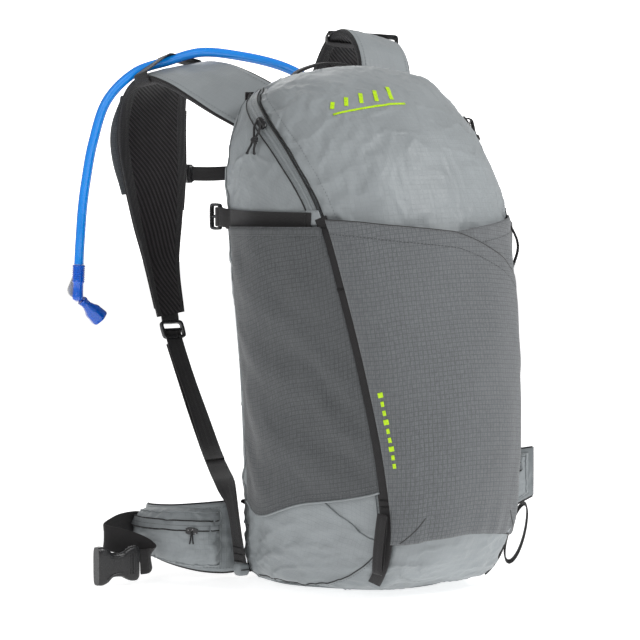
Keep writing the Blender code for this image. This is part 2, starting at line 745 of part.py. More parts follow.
def make_male_buckle():
    """Bar and three prongs that plug into the female half; it hangs behind the right wing."""
    end = Vector(BELT_RIGHT[-1]) * MM
    across = MALE_WAY.normalized()
    through = across.cross(Vector((0, 0, 1))).normalized()
    outline = [(-16, -4), (16, -4), (16, -11), (11, -13), (11, -30), (7, -32), (6, -14), (2, -14)]
    outline += [(2, -30), (-2, -30), (-2, -14), (-6, -14), (-7, -32), (-11, -30), (-11, -13), (-16, -11)]
    rings = []
    for depth in (-3, 3):
        rings.append(
            [end + across * x * MM + Vector((0, 0, z)) * MM + through * depth * MM for x, z in outline]
        )
    loft("buckle_male", rings, "plastic", end)


# --- places and routes, in millimetres -------------------------------------------------------------

PORT = mm(-6, 4, 479)
PORT_AXIS = Vector((0.0, 0.77, 0.64)).normalized()
PORT_HOLE_START = PORT - PORT_AXIS * 20 * MM
PORT_HOLE_PROFILE = [(0, 8 * MM), (40 * MM, 8 * MM)]
LOOP_HINGE = mm(0, 5, 492)
CAP = mm(0, -35.9, 250)
ZIP_T = 8.0
ZIP_WAY = (skin(7.0, -2.05) - skin(8.0, -2.05)).normalized()
SUPPLY_ROUTE = (
    (-40, -36, 68.6), (-40, -36.5, 80), (-41, -38, 100), (-47, -40, 135), (-54, -42, 180), (-56, -42, 230),
    (-56, -42, 280), (-54, -42, 325), (-47, -41, 365), (-33, -36, 402), (-19, -28, 432),
    (-9, -17, 456), (-6, -5, 471.5), (-6, 4, 479), (-6, 10.5, 484.4),
)
TUBE_ROUTE = (
    (-6, 11.3, 485.1), (-6, 22, 494), (-12, 38, 506), (-30, 58, 518), (-60, 82, 527), (-92, 107, 531),
    (-120, 128, 522), (-150, 145, 510), (-175, 159, 481), (-186, 169, 438), (-191, 175, 400),
    (-194, 178, 370), (-196, 179, 342), (-197, 180, 322), (-197.5, 180, 312),
)
TUBE_END_WAY = Vector((-0.05, 0.0, -1.0)).normalized()
BITE_WAY = Vector((0.72, -0.05, -0.69)).normalized()
SWING_TOP = mm(-62, 14, 475)
STRAP_LEFT = (
    (-64, 15, 466), (-76, 22, 474), (-90, 42, 486), (-103, 72, 500), (-114, 102, 509), (-120, 130, 508),
    (-119, 156, 488), (-113, 175, 450), (-104, 185, 404), (-99, 187, 352), (-96, 184, 308), (-89, 179, 256),
)
STRAP_SIDES_LEFT = (
    (0.7, 0, 0.7), (0.62, 0.1, 0.78), (0.6, 0.25, 0.75), (0.72, 0.3, 0.55),
    (0.85, 0.32, 0.3), (0.93, 0.25, 0.1),
    (1, 0.1, 0), (1, 0, 0), (1, 0, 0), (1, 0, 0), (1, 0, 0), (1, 0, 0),
)
STRAP_RIGHT = (
    (68, 15, 468), (74, 18, 492), (79, 26, 518), (82, 42, 538), (86, 66, 546), (90, 94, 538),
    (95, 124, 508), (100, 152, 462), (102, 176, 408), (99, 186, 352), (96, 184, 308), (89, 179, 256),
)
STRAP_SIDES_RIGHT = (
    (1, 0, 0), (1, 0, -0.05), (1, 0, -0.15), (1, 0, -0.2), (1, 0, -0.2), (1, 0, -0.15),
    (1, 0, -0.1), (1, 0, 0), (1, 0, 0), (1, 0, 0), (1, 0, 0), (1, 0, 0),
)
STRAP_WIDTHS = (58, 60, 62, 64, 68, 72, 76, 78, 73, 57, 40, 33)
STRAP_THICKNESS = (6, 8, 9, 9, 9, 9, 9, 9, 9, 8, 7, 5)
STRAP_STEPS = 26
KEEPER_AT = 11
LOCK = mm(-88, 176.5, 240)
WEB_ROUTE = (
    (-88, 173, 225), (-87, 140, 170), (-95, 92, 126), (-110, 46, 106), (-120, 18, 97), (-124, 0, 84),
    (-124, -7, 64), (-120, -6, 42), (-116, -5.5, 17.5),
)
WEB_SIDES = (
    (1, 0, 0), (1, 0.1, 0), (0.9, -0.2, 0), (0.7, -0.5, 0.1), (0.4, -0.8, 0.1), (0.1, -1, 0),
    (0, -1, 0), (0, -1, 0), (0.1, -1, 0),
)
STERNUM = mm(0, 186, 404)
WING_HINGE = mm(-107, 18, 41)
WING_LEFT = (
    (-106, 18, 41), (-124, 19.5, 41), (-146, 26, 42), (-165, 43, 44), (-172, 70, 46), (-162, 100, 47),
)
WING_RIGHT = ((106, 18, 41), (150, 22, 46), (198, 13, 62), (226, 3, 76), (246, -14, 86))
BELT_LEFT = (
    (-172, 93, 49), (-186, 86, 52), (-210, 72, 53), (-228, 62, 50), (-238, 55, 47), (-236, 49, 45),
    (-222, 44, 41), (-206, 39, 34), (-199, 33, 27), (-204, 28, 22.5), (-213, 27, 22),
)
MALE_WAY = Vector((0.76, -0.65, 0.0))
BELT_RIGHT = ((240, 14, 82), (236, 22, 78), (229, 29, 68), (223, 33, 56), (220, 34, 43))
BUCKLE = mm(-215.5, 27, 22)
BUCKLE_FEMALE = (
    (0, 30, 6), (4, 35, 9), (12, 34, 11), (18, 25, 12),
    (32, 24, 12), (37, 36, 13), (46, 39, 13), (48, 38, 12),
)


def build():
    clear_scene()
    make_bag()
    make_front_pocket()
    make_side_pockets()
    make_zips()
    make_side_straps()
    make_front_straps()
    make_haul_loop()
    make_back()
    make_reservoir()
    make_tube()
    make_harness()
    make_hip_belt()


build()
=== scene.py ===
"""Looks of the hydration pack: fabric, webbing, mesh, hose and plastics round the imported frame.

Metres, +Z up. The pack stands on Z = 0, the wearer is on the +Y side and the front pocket faces -Y.
"""
import math

import bmesh
import bpy
import numpy as np
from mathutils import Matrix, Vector


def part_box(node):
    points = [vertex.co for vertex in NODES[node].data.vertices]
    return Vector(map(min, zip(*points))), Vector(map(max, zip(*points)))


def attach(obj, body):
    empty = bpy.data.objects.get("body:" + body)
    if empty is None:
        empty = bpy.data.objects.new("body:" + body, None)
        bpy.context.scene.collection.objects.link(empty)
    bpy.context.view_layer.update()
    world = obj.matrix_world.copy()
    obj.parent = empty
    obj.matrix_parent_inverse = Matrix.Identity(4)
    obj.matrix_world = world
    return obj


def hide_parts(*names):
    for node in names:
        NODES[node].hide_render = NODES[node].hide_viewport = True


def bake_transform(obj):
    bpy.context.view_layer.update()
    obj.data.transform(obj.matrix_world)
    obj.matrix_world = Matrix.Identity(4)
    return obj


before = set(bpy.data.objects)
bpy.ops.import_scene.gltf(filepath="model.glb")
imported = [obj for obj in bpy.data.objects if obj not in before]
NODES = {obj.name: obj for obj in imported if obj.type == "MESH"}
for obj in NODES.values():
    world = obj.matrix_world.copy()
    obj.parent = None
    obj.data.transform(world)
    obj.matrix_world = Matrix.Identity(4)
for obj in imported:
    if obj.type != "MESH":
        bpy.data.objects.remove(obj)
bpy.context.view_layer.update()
MM = 0.001

# --- the bag's own surface, as the frame has it ----------------------------------------------------

GUIDES = np.array((
    ((-92, 0, 0), (-92, -60, 0), (-56, -118, 0), (-32, -138, 0), (0, -144, 0)),
    ((-102, 0, 14), (-112, -75, 12), (-66, -172, 14), (-40, -196, 20), (0, -204, 24)),
    ((-107, 0, 60), (-122, -84, 58), (-71, -203, 60), (-42, -232, 66), (0, -240, 70)),
    ((-109, 0, 130), (-127, -86, 130), (-79, -204, 130), (-46, -238, 134), (0, -250, 138)),
    ((-113, 0, 210), (-131, -82, 210), (-88, -190, 210), (-54, -226, 212), (0, -240, 214)),
    ((-120, 0, 290), (-135, -76, 290), (-98, -170, 290), (-60, -204, 290), (0, -218, 290)),
    ((-126, 0, 368), (-136, -68, 370), (-109, -144, 372), (-66, -176, 374), (0, -190, 376)),
    ((-126, 0, 415), (-134, -52, 418), (-115, -102, 426), (-72, -142, 436), (0, -156, 440)),
    ((-121, 0, 450), (-127, -34, 452), (-115, -64, 458), (-74, -98, 474), (0, -112, 482)),
    ((-110, 0, 474), (-113, -16, 476), (-107, -30, 481), (-73, -56, 498), (0, -66, 506)),
    ((-92, 0, 490), (-92, -4, 492), (-88, -9, 495), (-60, -16, 506), (0, -22, 512)),
), float)
MIRROR_X = np.array((-1.0, 1.0, 1.0))
UP = np.array((0.0, 0.0, 1.0))
HANDS = (("left", -1), ("right", 1))  # the wearer's sides, and the sign of X on each
NET = np.concatenate((GUIDES, GUIDES[:, -2::-1] * MIRROR_X), axis=1) * MM
TOP = NET.shape[0] - 1
SIDES = (NET.shape[1] - 1) // 2
EDGE = 2.0  # guide parameter of the strap and zip edge
CLEAR = 1.6 * MM


def weights(at, count):
    """Catmull-Rom weights of `count` points for each parameter in `at`; ends are carried on straight."""
    at = np.clip(np.asarray(at, float).ravel(), 0.0, count - 1.0)
    i = np.minimum(at.astype(int), count - 2)
    f = at - i
    four = 0.5 * np.stack((
        -f + 2 * f**2 - f**3,
        2 - 5 * f**2 + 3 * f**3,
        f + 4 * f**2 - 3 * f**3,
        -(f**2) + f**3,
    ))
    table = np.zeros((len(at), count))
    rows = np.arange(len(at))
    for k in range(4):
        j = i + k - 1
        low, high = j < 0, j > count - 1
        inside = ~(low | high)
        np.add.at(table, (rows[inside], j[inside]), four[k][inside])
        np.add.at(table, (rows[low], i[low]), 2 * four[k][low])
        np.add.at(table, (rows[low], i[low] + 1), -four[k][low])
        np.add.at(table, (rows[high], i[high] + 1), 2 * four[k][high])
        np.add.at(table, (rows[high], i[high]), -four[k][high])
    return table


def skin(t, s):
    """Points of the bag's surface; t is 0 at the base and 10 at the top, s is -4 (back left) to 4."""
    t, s = np.broadcast_arrays(np.asarray(t, float), np.asarray(s, float))
    wt, ws = weights(t, TOP + 1), weights(s + SIDES, 2 * SIDES + 1)
    return np.einsum("nk,nl,klc->nc", wt, ws, NET).reshape(t.shape + (3,))


def unit(v):
    """Vectors at length 1."""
    return v / np.maximum(np.linalg.norm(v, axis=-1, keepdims=True), 1e-12)


def outward(t, s):
    """Outward directions of the bag's surface."""
    step = 0.05
    t, s = np.broadcast_arrays(np.asarray(t, float), np.asarray(s, float))
    across = skin(t, np.minimum(s + step, SIDES)) - skin(t, np.maximum(s - step, -SIDES))
    up = skin(np.minimum(t + step, TOP), s) - skin(np.maximum(t - step, 0), s)
    return unit(np.cross(across, up))


def off_skin(t, s, distance):
    """Points at a distance off the bag's surface."""
    return skin(t, s) + outward(t, s) * np.asarray(distance, float)[..., None]


def height_t(z, s=0.0):
    """Guide parameter where the surface line s reaches height z."""
    low, high = 0.0, float(TOP)
    for _ in range(24):
        middle = (low + high) / 2
        if skin(middle, s)[2] < z:
            low = middle
        else:
            high = middle
    return (low + high) / 2


def curve(points, count, scale=MM):
    """`count` points on the smooth open curve through the points."""
    points = np.asarray(points, float)
    return weights(np.linspace(0, len(points) - 1, count), len(points)) @ points * scale


def run_along(points):
    """Length of the line up to each of its points."""
    return np.concatenate(((0,), np.cumsum(np.linalg.norm(np.diff(points, axis=0), axis=1))))


def turn_angles(count):
    """Even angles once round, without the last one."""
    return np.linspace(0, 2 * math.pi, count, endpoint=False)


def mirrored(side):
    """Factor that carries a place on the left side to the given side."""
    return MIRROR_X if side > 0 else np.ones(3)


def ease(x):
    """Smooth step from 0 to 1."""
    x = np.clip(x, 0.0, 1.0)
    return x * x * (3 - 2 * x)


def bump_at(x, centre, width):
    """Smooth bump of height 1 at centre, gone at `width` to either side."""
    return np.clip(1 - ((x - centre) / width) ** 2, 0, None) ** 2


def wave_noise(points, size, seed, octaves=3):
    """Soft random field over points (metres): a sum of tilted waves, always the same for a seed."""
    rng = np.random.default_rng(seed)
    total, amount = np.zeros(points.shape[:-1]), 0.0
    for octave in range(octaves):
        strength = 0.55**octave
        for _ in range(5):
            way = rng.normal(size=3)
            way *= (2**octave) * 2 * math.pi / (size * np.linalg.norm(way)) * rng.uniform(0.7, 1.3)
            total += strength * np.sin(points @ way + rng.uniform(0, 6.28) + 0.7 * total)
        amount += strength
    return total / (amount * 2.2)


def crease(value, sharp=2.0):
    """Turns a soft field into fold crests: thin ridges between broad hollows."""
    return (1 - np.abs(np.clip(value, -1, 1))) ** sharp - 0.4


# --- meshes ----------------------------------------------------------------------------------------


def finish_mesh(thing, body, material, auto=None):
    """Shades a piece, sharp past `auto` degrees, and sets its material and body."""
    mesh = thing.data
    mesh.shade_smooth()
    if auto is not None:
        mesh.set_sharp_from_angle(angle=math.radians(auto))
    mesh.materials.clear()
    mesh.materials.append(material)
    if body:
        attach(thing, body)
    return thing


def new_mesh(name, verts, faces, uvs=None):
    """Mesh object in the scene, with cloth coordinates where they are given."""
    mesh = bpy.data.meshes.new(name)
    places = [tuple(v) for v in np.asarray(verts, float)]
    mesh.from_pydata(places, [], [tuple(int(k) for k in f) for f in faces])
    if uvs is not None:
        layer = mesh.uv_layers.new(name="weave")
        loops = np.zeros(len(mesh.loops), int)
        mesh.loops.foreach_get("vertex_index", loops)
        layer.data.foreach_set("uv", np.asarray(uvs, float)[loops].ravel())
    thing = bpy.data.objects.new(name, mesh)
    bpy.context.scene.collection.objects.link(thing)
    return thing


def grid_faces(rows, columns, start=0, flip=False, keep=None):
    """Quads of a grid of points; keep marks the ones that are wanted."""
    faces = []
    for i in range(rows - 1):
        for k in range(columns - 1):
            if keep is not None and not keep[i, k]:
                continue
            a = start + i * columns + k
            face = (a, a + 1, a + 1 + columns, a + columns)
            faces.append(face[::-1] if flip else face)
    return faces


def arc_uv(grid):
    """Cloth coordinates in metres: distances along the grid's rows and columns."""
    du = np.linalg.norm(np.diff(grid, axis=1), axis=2)
    dv = np.linalg.norm(np.diff(grid, axis=0), axis=2)
    u = np.concatenate((np.zeros((grid.shape[0], 1)), np.cumsum(du, axis=1)), axis=1)
    u -= u[:, [grid.shape[1] // 2]]
    v = np.concatenate((np.zeros((1, grid.shape[1])), np.cumsum(dv, axis=0)), axis=0)
    return np.stack((u, v), axis=2).reshape(-1, 2)


def cloth(name, grid, inward, thickness):
    """Closed fabric panel: the grid as its outer face and a second face `thickness` inside it."""
    rows, columns, _ = grid.shape
    inner = grid + inward * thickness
    verts = np.concatenate((grid.reshape(-1, 3), inner.reshape(-1, 3)))
    shift = rows * columns
    faces = grid_faces(rows, columns) + grid_faces(rows, columns, shift, flip=True)
    rim = list(range(columns)) + [i * columns + columns - 1 for i in range(1, rows)]
    rim += [(rows - 1) * columns + k for k in range(columns - 2, -1, -1)]
    rim += [i * columns for i in range(rows - 2, 0, -1)]
    for a, b in zip(rim, rim[1:] + rim[:1]):
        faces.append((a, shift + a, shift + b, b))
    uv = arc_uv(grid)
    return new_mesh(name, verts, faces, np.concatenate((uv, uv)))


def squared_round(count, power, power_up=None):
    """Points of a circle pressed towards a square; a power below 1 squares its sides."""
    power_up = power if power_up is None else power_up
    points = []
    for k in range(count):
        angle = 2 * math.pi * k / count
        c, d = math.cos(angle), math.sin(angle)
        points.append((math.copysign(abs(c) ** power, c), math.copysign(abs(d) ** power_up, d)))
    return np.array(points)


def box_of(node):
    """Low and high corners of a node of the frame."""
    return (np.array(corner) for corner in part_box(node))


def between(count, picks):
    """Weights that carry values at some rows to all rows, straight from one to the next."""
    return np.stack([np.interp(np.arange(count), picks, row) for row in np.eye(len(picks))], axis=1)


def settle(grid, step, pressure, slack, cap):
    """Panel of cloth held at its rim, a little too big, blown out by Blender's Cloth and set there."""
    rows, columns, _ = grid.shape
    row_picks = np.linspace(0, rows - 1, rows // step).round().astype(int)
    column_picks = np.linspace(0, columns - 1, columns // step).round().astype(int)
    coarse = grid[np.ix_(row_picks, column_picks)]
    high, wide, _ = coarse.shape
    panel = new_mesh("settling_panel", coarse.reshape(-1, 3), grid_faces(high, wide))
    pins = panel.vertex_groups.new(name="pins")
    rim = [i * wide + j for i in range(high) for j in range(wide) if i in (0, high - 1) or j in (0, wide - 1)]
    pins.add(rim, 1.0, "REPLACE")
    cloth_settings = panel.modifiers.new("settle", "CLOTH").settings
    cloth_settings.vertex_group_mass = "pins"
    cloth_settings.use_pressure = True
    cloth_settings.uniform_pressure_force = pressure
    cloth_settings.effector_weights.gravity = 0.0
    cloth_settings.shrink_min = -slack
    cloth_settings.bending_stiffness = 0.3
    for number in range(1, 21):
        bpy.context.scene.frame_set(number)
    settled = panel.evaluated_get(bpy.context.evaluated_depsgraph_get())
    places = np.empty(high * wide * 3)
    settled.data.vertices.foreach_get("co", places)
    bpy.context.scene.frame_set(1)
    bpy.data.objects.remove(panel, do_unlink=True)
    shift = places.reshape(high, wide, 3) - coarse
    size = np.linalg.norm(shift, axis=2, keepdims=True)
    shift *= cap / np.maximum(size, cap)
    return grid + np.einsum("ri,ijk,cj->rck", between(rows, row_picks), shift, between(columns, column_picks))


def sweep(name, centres, sections, closed=False):
    """Loft of cross-sections. sections: (count, points, 3) offsets from each centre."""
    centres = np.asarray(centres, float)
    rings = centres[:, None, :] + sections
    count, around, _ = rings.shape
    verts = rings.reshape(-1, 3)
    faces = []
    for i in range(count if closed else count - 1):
        j = (i + 1) % count
        for k in range(around):
            m = (k + 1) % around
            faces.append((i * around + k, i * around + m, j * around + m, j * around + k))
    if not closed:
        faces.append(tuple(range(around))[::-1])
        faces.append(tuple((count - 1) * around + k for k in range(around)))
    run = run_along(centres)
    turn = np.linalg.norm(np.diff(np.concatenate((sections[:, :], sections[:, :1]), axis=1), axis=1), axis=2)
    girth = np.concatenate((np.zeros((count, 1)), np.cumsum(turn, axis=1)[:, :-1]), axis=1)
    uv = np.stack((np.repeat(run[:, None], around, 1), girth), axis=2).reshape(-1, 2)
    return new_mesh(name, verts, faces, uv)


def tangents(points, closed=False):
    """Directions along a line at each of its points."""
    points = np.asarray(points, float)
    if closed:
        return unit(np.roll(points, -1, 0) - np.roll(points, 1, 0))
    ahead = np.concatenate((points[1:], points[-1:]))
    back = np.concatenate((points[:1], points[:-1]))
    return unit(ahead - back)


def as_array(value, count):
    """One direction repeated for every point, or the directions as given."""
    value = np.asarray(value, float)
    return np.repeat(value[None], count, 0) if value.ndim < 2 else value


def ribbon(name, points, across, width, thickness, closed=False, crown=0.0):
    """Flat webbing with rounded edges; width runs along `across`."""
    points = np.asarray(points, float)
    count = len(points)
    along = tangents(points, closed)
    side = as_array(across, count)
    side = unit(side - along * np.sum(side * along, axis=1, keepdims=True))
    up = np.cross(along, side)
    w = np.broadcast_to(np.asarray(width, float), (count,))[:, None, None] / 2
    h = np.broadcast_to(np.asarray(thickness, float), (count,))[:, None, None] / 2
    outline = [(-1, -0.45), (-0.9, -1), (-0.35, -1.0), (0.35, -1.0), (0.9, -1), (1, -0.45)]
    outline += [(1, 0.45), (0.9, 1), (0.35, 1.0 + crown), (-0.35, 1.0 + crown), (-0.9, 1), (-1, 0.45)]
    outline = np.array(outline)
    sections = side[:, None] * outline[None, :, :1] * w + up[:, None] * outline[None, :, 1:] * h
    return sweep(name, points, sections, closed)


def cordlet(name, points, radius, sides=10, closed=False):
    """Round cord, piping or seam line along points; radius may vary."""
    points = np.asarray(points, float)
    along = tangents(points, closed)
    side = np.cross(along[0], UP)
    if np.linalg.norm(side) < 0.1:
        side = np.cross(along[0], (0.0, 1.0, 0.0))
    sides_run = []
    for a in along:
        side = unit(side - a * np.dot(side, a))
        sides_run.append(side)
    side = np.array(sides_run)
    up = np.cross(along, side)
    angle = turn_angles(sides)
    r = np.broadcast_to(np.asarray(radius, float), (len(points),))[:, None, None]
    sections = (side[:, None] * np.cos(angle)[None, :, None] + up[:, None] * np.sin(angle)[None, :, None]) * r
    return sweep(name, points, sections, closed)


def merge(name, parts):
    """Joins pieces into one object that keeps the first one's materials."""
    bpy.ops.object.select_all(action="DESELECT")
    for part in parts:
        part.select_set(True)
    bpy.context.view_layer.objects.active = parts[0]
    if len(parts) > 1:
        bpy.ops.object.join()
    whole = bpy.context.view_layer.objects.active
    whole.name = name
    whole.data.name = name
    return whole


def stitches(name, points, normals, length=2.2 * MM, gap=1.3 * MM, radius=0.32 * MM):
    """Row of thread stitches lying on a surface line."""
    points, normals = np.asarray(points, float), np.asarray(normals, float)
    run = run_along(points)
    total = int(run[-1] / (length + gap))
    verts, faces = [], []
    shape = (
        (-0.5, 0, -0.2), (-0.25, -0.8, 0.5), (-0.25, 0.8, 0.5),
        (0.25, -0.8, 0.5), (0.25, 0.8, 0.5), (0.5, 0, -0.2),
    )
    sides = ((0, 2, 1), (1, 2, 4, 3), (3, 4, 5), (0, 1, 3, 5), (0, 5, 4, 2))
    for n in range(total):
        at = (n + 0.5) * (length + gap)
        p = np.array([np.interp(at, run, points[:, c]) for c in range(3)])
        q = np.array([np.interp(at + length / 2, run, points[:, c]) for c in range(3)])
        up = unit(np.array([np.interp(at, run, normals[:, c]) for c in range(3)]))
        along = unit(q - p)
        side = np.cross(up, along)
        base = len(verts)
        for x, y, z in shape:
            verts.append(p + along * x * length + side * y * radius + up * (z + 0.6) * radius)
        faces += [tuple(base + k for k in f) for f in sides]
    return new_mesh(name, verts, faces)


# --- materials -------------------------------------------------------------------------------------


class Graph:
    """Short names for the shader nodes that the materials share."""

    def __init__(self, name):
        self.material = bpy.data.materials.new(name)
        self.material.use_nodes = True
        self.nodes = self.material.node_tree.nodes
        self.links = self.material.node_tree.links
        self.shader = self.nodes["Principled BSDF"]

    def put(self, socket, value):
        if isinstance(value, bpy.types.NodeSocket):
            self.links.new(value, socket)
        else:
            socket.default_value = value

    def math(self, operation, a, b=0.0, c=0.0):
        node = self.nodes.new("ShaderNodeMath")
        node.operation = operation
        for socket, value in zip(node.inputs, (a, b, c)):
            self.put(socket, value)
        return node.outputs[0]

    def weave(self):
        node = self.nodes.new("ShaderNodeUVMap")
        node.uv_map = "weave"
        split = self.nodes.new("ShaderNodeSeparateXYZ")
        self.links.new(node.outputs[0], split.inputs[0])
        return split.outputs[0], split.outputs[1]

    def place(self):
        return self.nodes.new("ShaderNodeTexCoord").outputs["Object"]

    def noise(self, scale, detail=3.0, stretch=None, rough=0.5):
        node = self.nodes.new("ShaderNodeTexNoise")
        node.inputs["Scale"].default_value = scale
        node.inputs["Detail"].default_value = detail
        node.inputs["Roughness"].default_value = rough
        place = self.place()
        if stretch:
            mapping = self.nodes.new("ShaderNodeMapping")
            mapping.inputs["Scale"].default_value = stretch
            self.links.new(place, mapping.inputs["Vector"])
            place = mapping.outputs[0]
        self.links.new(place, node.inputs["Vector"])
        return node.outputs["Fac"]

    def ramp(self, value, low, high, out_low=0.0, out_high=1.0):
        node = self.nodes.new("ShaderNodeMapRange")
        node.interpolation_type = "SMOOTHSTEP"
        for socket, number in zip(node.inputs, (value, low, high, out_low, out_high)):
            self.put(socket, number)
        return node.outputs[0]

    def mix(self, factor, a, b):
        node = self.nodes.new("ShaderNodeMix")
        node.data_type = "RGBA"
        node.blend_type = "MIX"
        self.put(node.inputs[0], factor)
        self.put(node.inputs[6], a if isinstance(a, bpy.types.NodeSocket) else (*a, 1.0))
        self.put(node.inputs[7], b if isinstance(b, bpy.types.NodeSocket) else (*b, 1.0))
        return node.outputs[2]

    def bump(self, height, distance, below=None):
        node = self.nodes.new("ShaderNodeBump")
        node.inputs["Strength"].default_value = 1.0
        node.inputs["Distance"].default_value = distance
        self.put(node.inputs["Height"], height)
        if below is not None:
            self.links.new(below, node.inputs["Normal"])
        return node.outputs[0]

    def wave(self, value, period):
        """Sine of a length, from 0 to 1."""
        turn = self.math("MULTIPLY", value, 2 * math.pi / period)
        return self.math("MULTIPLY_ADD", self.math("SINE", turn), 0.5, 0.5)

    def lines(self, value, period, share):
        """1 on thin lines, `period` apart and `share` of it wide, else 0."""
        part = self.math("FRACT", self.math("DIVIDE", value, period))
        away = self.math("ABSOLUTE", self.math("SUBTRACT", part, 0.5))
        return self.ramp(away, 0.5 - share, 0.5 - share * 0.4)

    def finish(self, colour, rough, normal=None, **more):
        self.put(self.shader.inputs["Base Color"], colour)
        self.put(self.shader.inputs["Roughness"], rough)
        if normal is not None:
            self.put(self.shader.inputs["Normal"], normal)
        for key, value in more.items():
            self.put(self.shader.inputs[key.replace("_", " ")], value)
        return self.material


def shade(colour, factor):
    """Colour made lighter or darker."""
    return tuple(min(c * factor, 1.0) for c in colour)


def nylon(name, colour, cell=5.0 * MM, contrast=0.05, rough=0.46, crinkle=0.5):
    """Coated ripstop: fine weave, a faint square grid, soft colour clouds and small crinkles."""
    g = Graph(name)
    u, v = g.weave()
    grid = g.math("MAXIMUM", g.lines(u, cell, 0.10), g.lines(v, cell, 0.10))
    threads = g.math("MULTIPLY", g.wave(u, 0.55 * MM), g.wave(v, 0.55 * MM))
    clouds = g.noise(16.0, 4.0)
    wear = g.ramp(g.noise(70.0, 5.0), 0.58, 0.8)
    tone = g.mix(g.ramp(clouds, 0.3, 0.7), shade(colour, 0.93), shade(colour, 1.06))
    tone = g.mix(g.math("MULTIPLY", grid, contrast), tone, shade(colour, 0.4))
    tone = g.mix(g.math("MULTIPLY", wear, 0.10), tone, shade(colour, 1.3))
    small = g.noise(120.0, 4.0, (1.0, 1.0, 0.6))
    normal = g.bump(small, 1.0 * MM * crinkle)
    normal = g.bump(g.math("ADD", grid, g.math("MULTIPLY", threads, 0.35)), 0.10 * MM, normal)
    gloss = g.ramp(clouds, 0.3, 0.7, rough - 0.05, rough + 0.07)
    return g.finish(tone, gloss, normal, Sheen_Weight=0.12, Sheen_Roughness=0.4, Specular_IOR_Level=0.45)


def stretch_ripstop(name, colour):
    """Stretch pocket cloth: heathered yarns with a clear square grid of darker threads."""
    g = Graph(name)
    u, v = g.weave()
    cell = 4.4 * MM
    half = cell / 2
    main = g.math("MAXIMUM", g.lines(u, cell, 0.15), g.lines(v, cell, 0.15))
    minor = g.math("MAXIMUM", g.lines(u, half, 0.16), g.lines(v, half, 0.16))
    grid = g.math("MAXIMUM", main, g.math("MULTIPLY", minor, 0.4))
    heather = g.noise(900.0, 2.0, (1.0, 1.0, 0.25), 0.7)
    clouds = g.noise(14.0, 3.0)
    tone = g.mix(g.ramp(heather, 0.35, 0.65), shade(colour, 0.84), shade(colour, 1.16))
    tone = g.mix(g.math("MULTIPLY", grid, 0.5), tone, shade(colour, 0.42))
    tone = g.mix(g.ramp(clouds, 0.3, 0.75, 0.0, 0.2), tone, shade(colour, 1.25))
    threads = g.math("MULTIPLY", g.wave(u, 0.7 * MM), g.wave(v, 0.7 * MM))
    normal = g.bump(g.noise(90.0, 4.0), 0.35 * MM)
    relief = g.math("ADD", g.math("MULTIPLY", grid, -1.0), g.math("MULTIPLY", threads, 0.5))
    normal = g.bump(relief, 0.16 * MM, normal)
    return g.finish(tone, 0.72, normal, Sheen_Weight=0.2, Specular_IOR_Level=0.3)


def woven_tape(name, colour, rib=1.5 * MM, rough=0.62):
    """Webbing: chevron ribs across the tape, painted shade in the rib grooves and a painted highlight on the
    rib crowns, and dusty fibres.
    """
    g = Graph(name)
    u, v = g.weave()
    slant = g.math("ADD", u, g.math("MULTIPLY", g.math("PINGPONG", v, 2.5 * MM), 0.8))
    ribs = g.wave(slant, rib)
    picks = g.wave(v, 0.9 * MM)
    height = g.math("ADD", ribs, g.math("MULTIPLY", picks, 0.5))
    dust = g.noise(260.0, 4.0)
    # Painted shade and highlight: the rib grooves are darkened to 0.6 and the crowns lightened to 1.35,
    # following the rib height.
    tone = g.mix(g.ramp(height, 0.4, 1.3), shade(colour, 0.6), shade(colour, 1.35))
    tone = g.mix(g.ramp(dust, 0.55, 0.8, 0.0, 0.25), tone, shade(colour, 2.2))
    return g.finish(tone, rough, g.bump(height, 0.22 * MM), Sheen_Weight=0.15, Specular_IOR_Level=0.35)


def spacer_mesh(name, colour):
    """Air mesh: diagonal raised cords over an open knit of small dark holes."""
    g = Graph(name)
    u, v = g.weave()
    diagonal = g.math("ADD", g.math("MULTIPLY", u, 0.62), g.math("MULTIPLY", v, 0.78))
    other = g.math("SUBTRACT", g.math("MULTIPLY", u, 0.78), g.math("MULTIPLY", v, 0.62))
    cords = g.wave(diagonal, 3.6 * MM)
    beads = g.wave(other, 1.8 * MM)
    knit = g.math("MULTIPLY", cords, g.math("MULTIPLY_ADD", beads, 0.45, 0.55))
    fluff = g.noise(400.0, 3.0)
    tone = g.mix(g.ramp(knit, 0.2, 0.8), shade(colour, 0.35), shade(colour, 1.7))
    tone = g.mix(g.ramp(fluff, 0.5, 0.8, 0.0, 0.3), tone, shade(colour, 2.4))
    return g.finish(tone, 0.9, g.bump(knit, 0.8 * MM), Sheen_Weight=0.25, Specular_IOR_Level=0.2)


def moulded(name, colour, rough=0.3, grain=0.12, **more):
    """Injection-moulded plastic: fine mould grain, faint flow clouds and rubbed patches."""
    g = Graph(name)
    grain_noise = g.noise(1400.0, 3.0)
    clouds = g.noise(40.0, 4.0)
    rubbed = g.ramp(g.noise(160.0, 5.0), 0.52, 0.75)
    tone = g.mix(g.ramp(clouds, 0.3, 0.7), shade(colour, 0.85), shade(colour, 1.12))
    tone = g.mix(g.math("MULTIPLY", rubbed, 0.16), tone, shade(colour, 1.8))
    gloss = g.ramp(rubbed, 0.0, 1.0, rough, min(rough + 0.18, 1.0))
    return g.finish(tone, gloss, g.bump(grain_noise, grain * MM), **more)


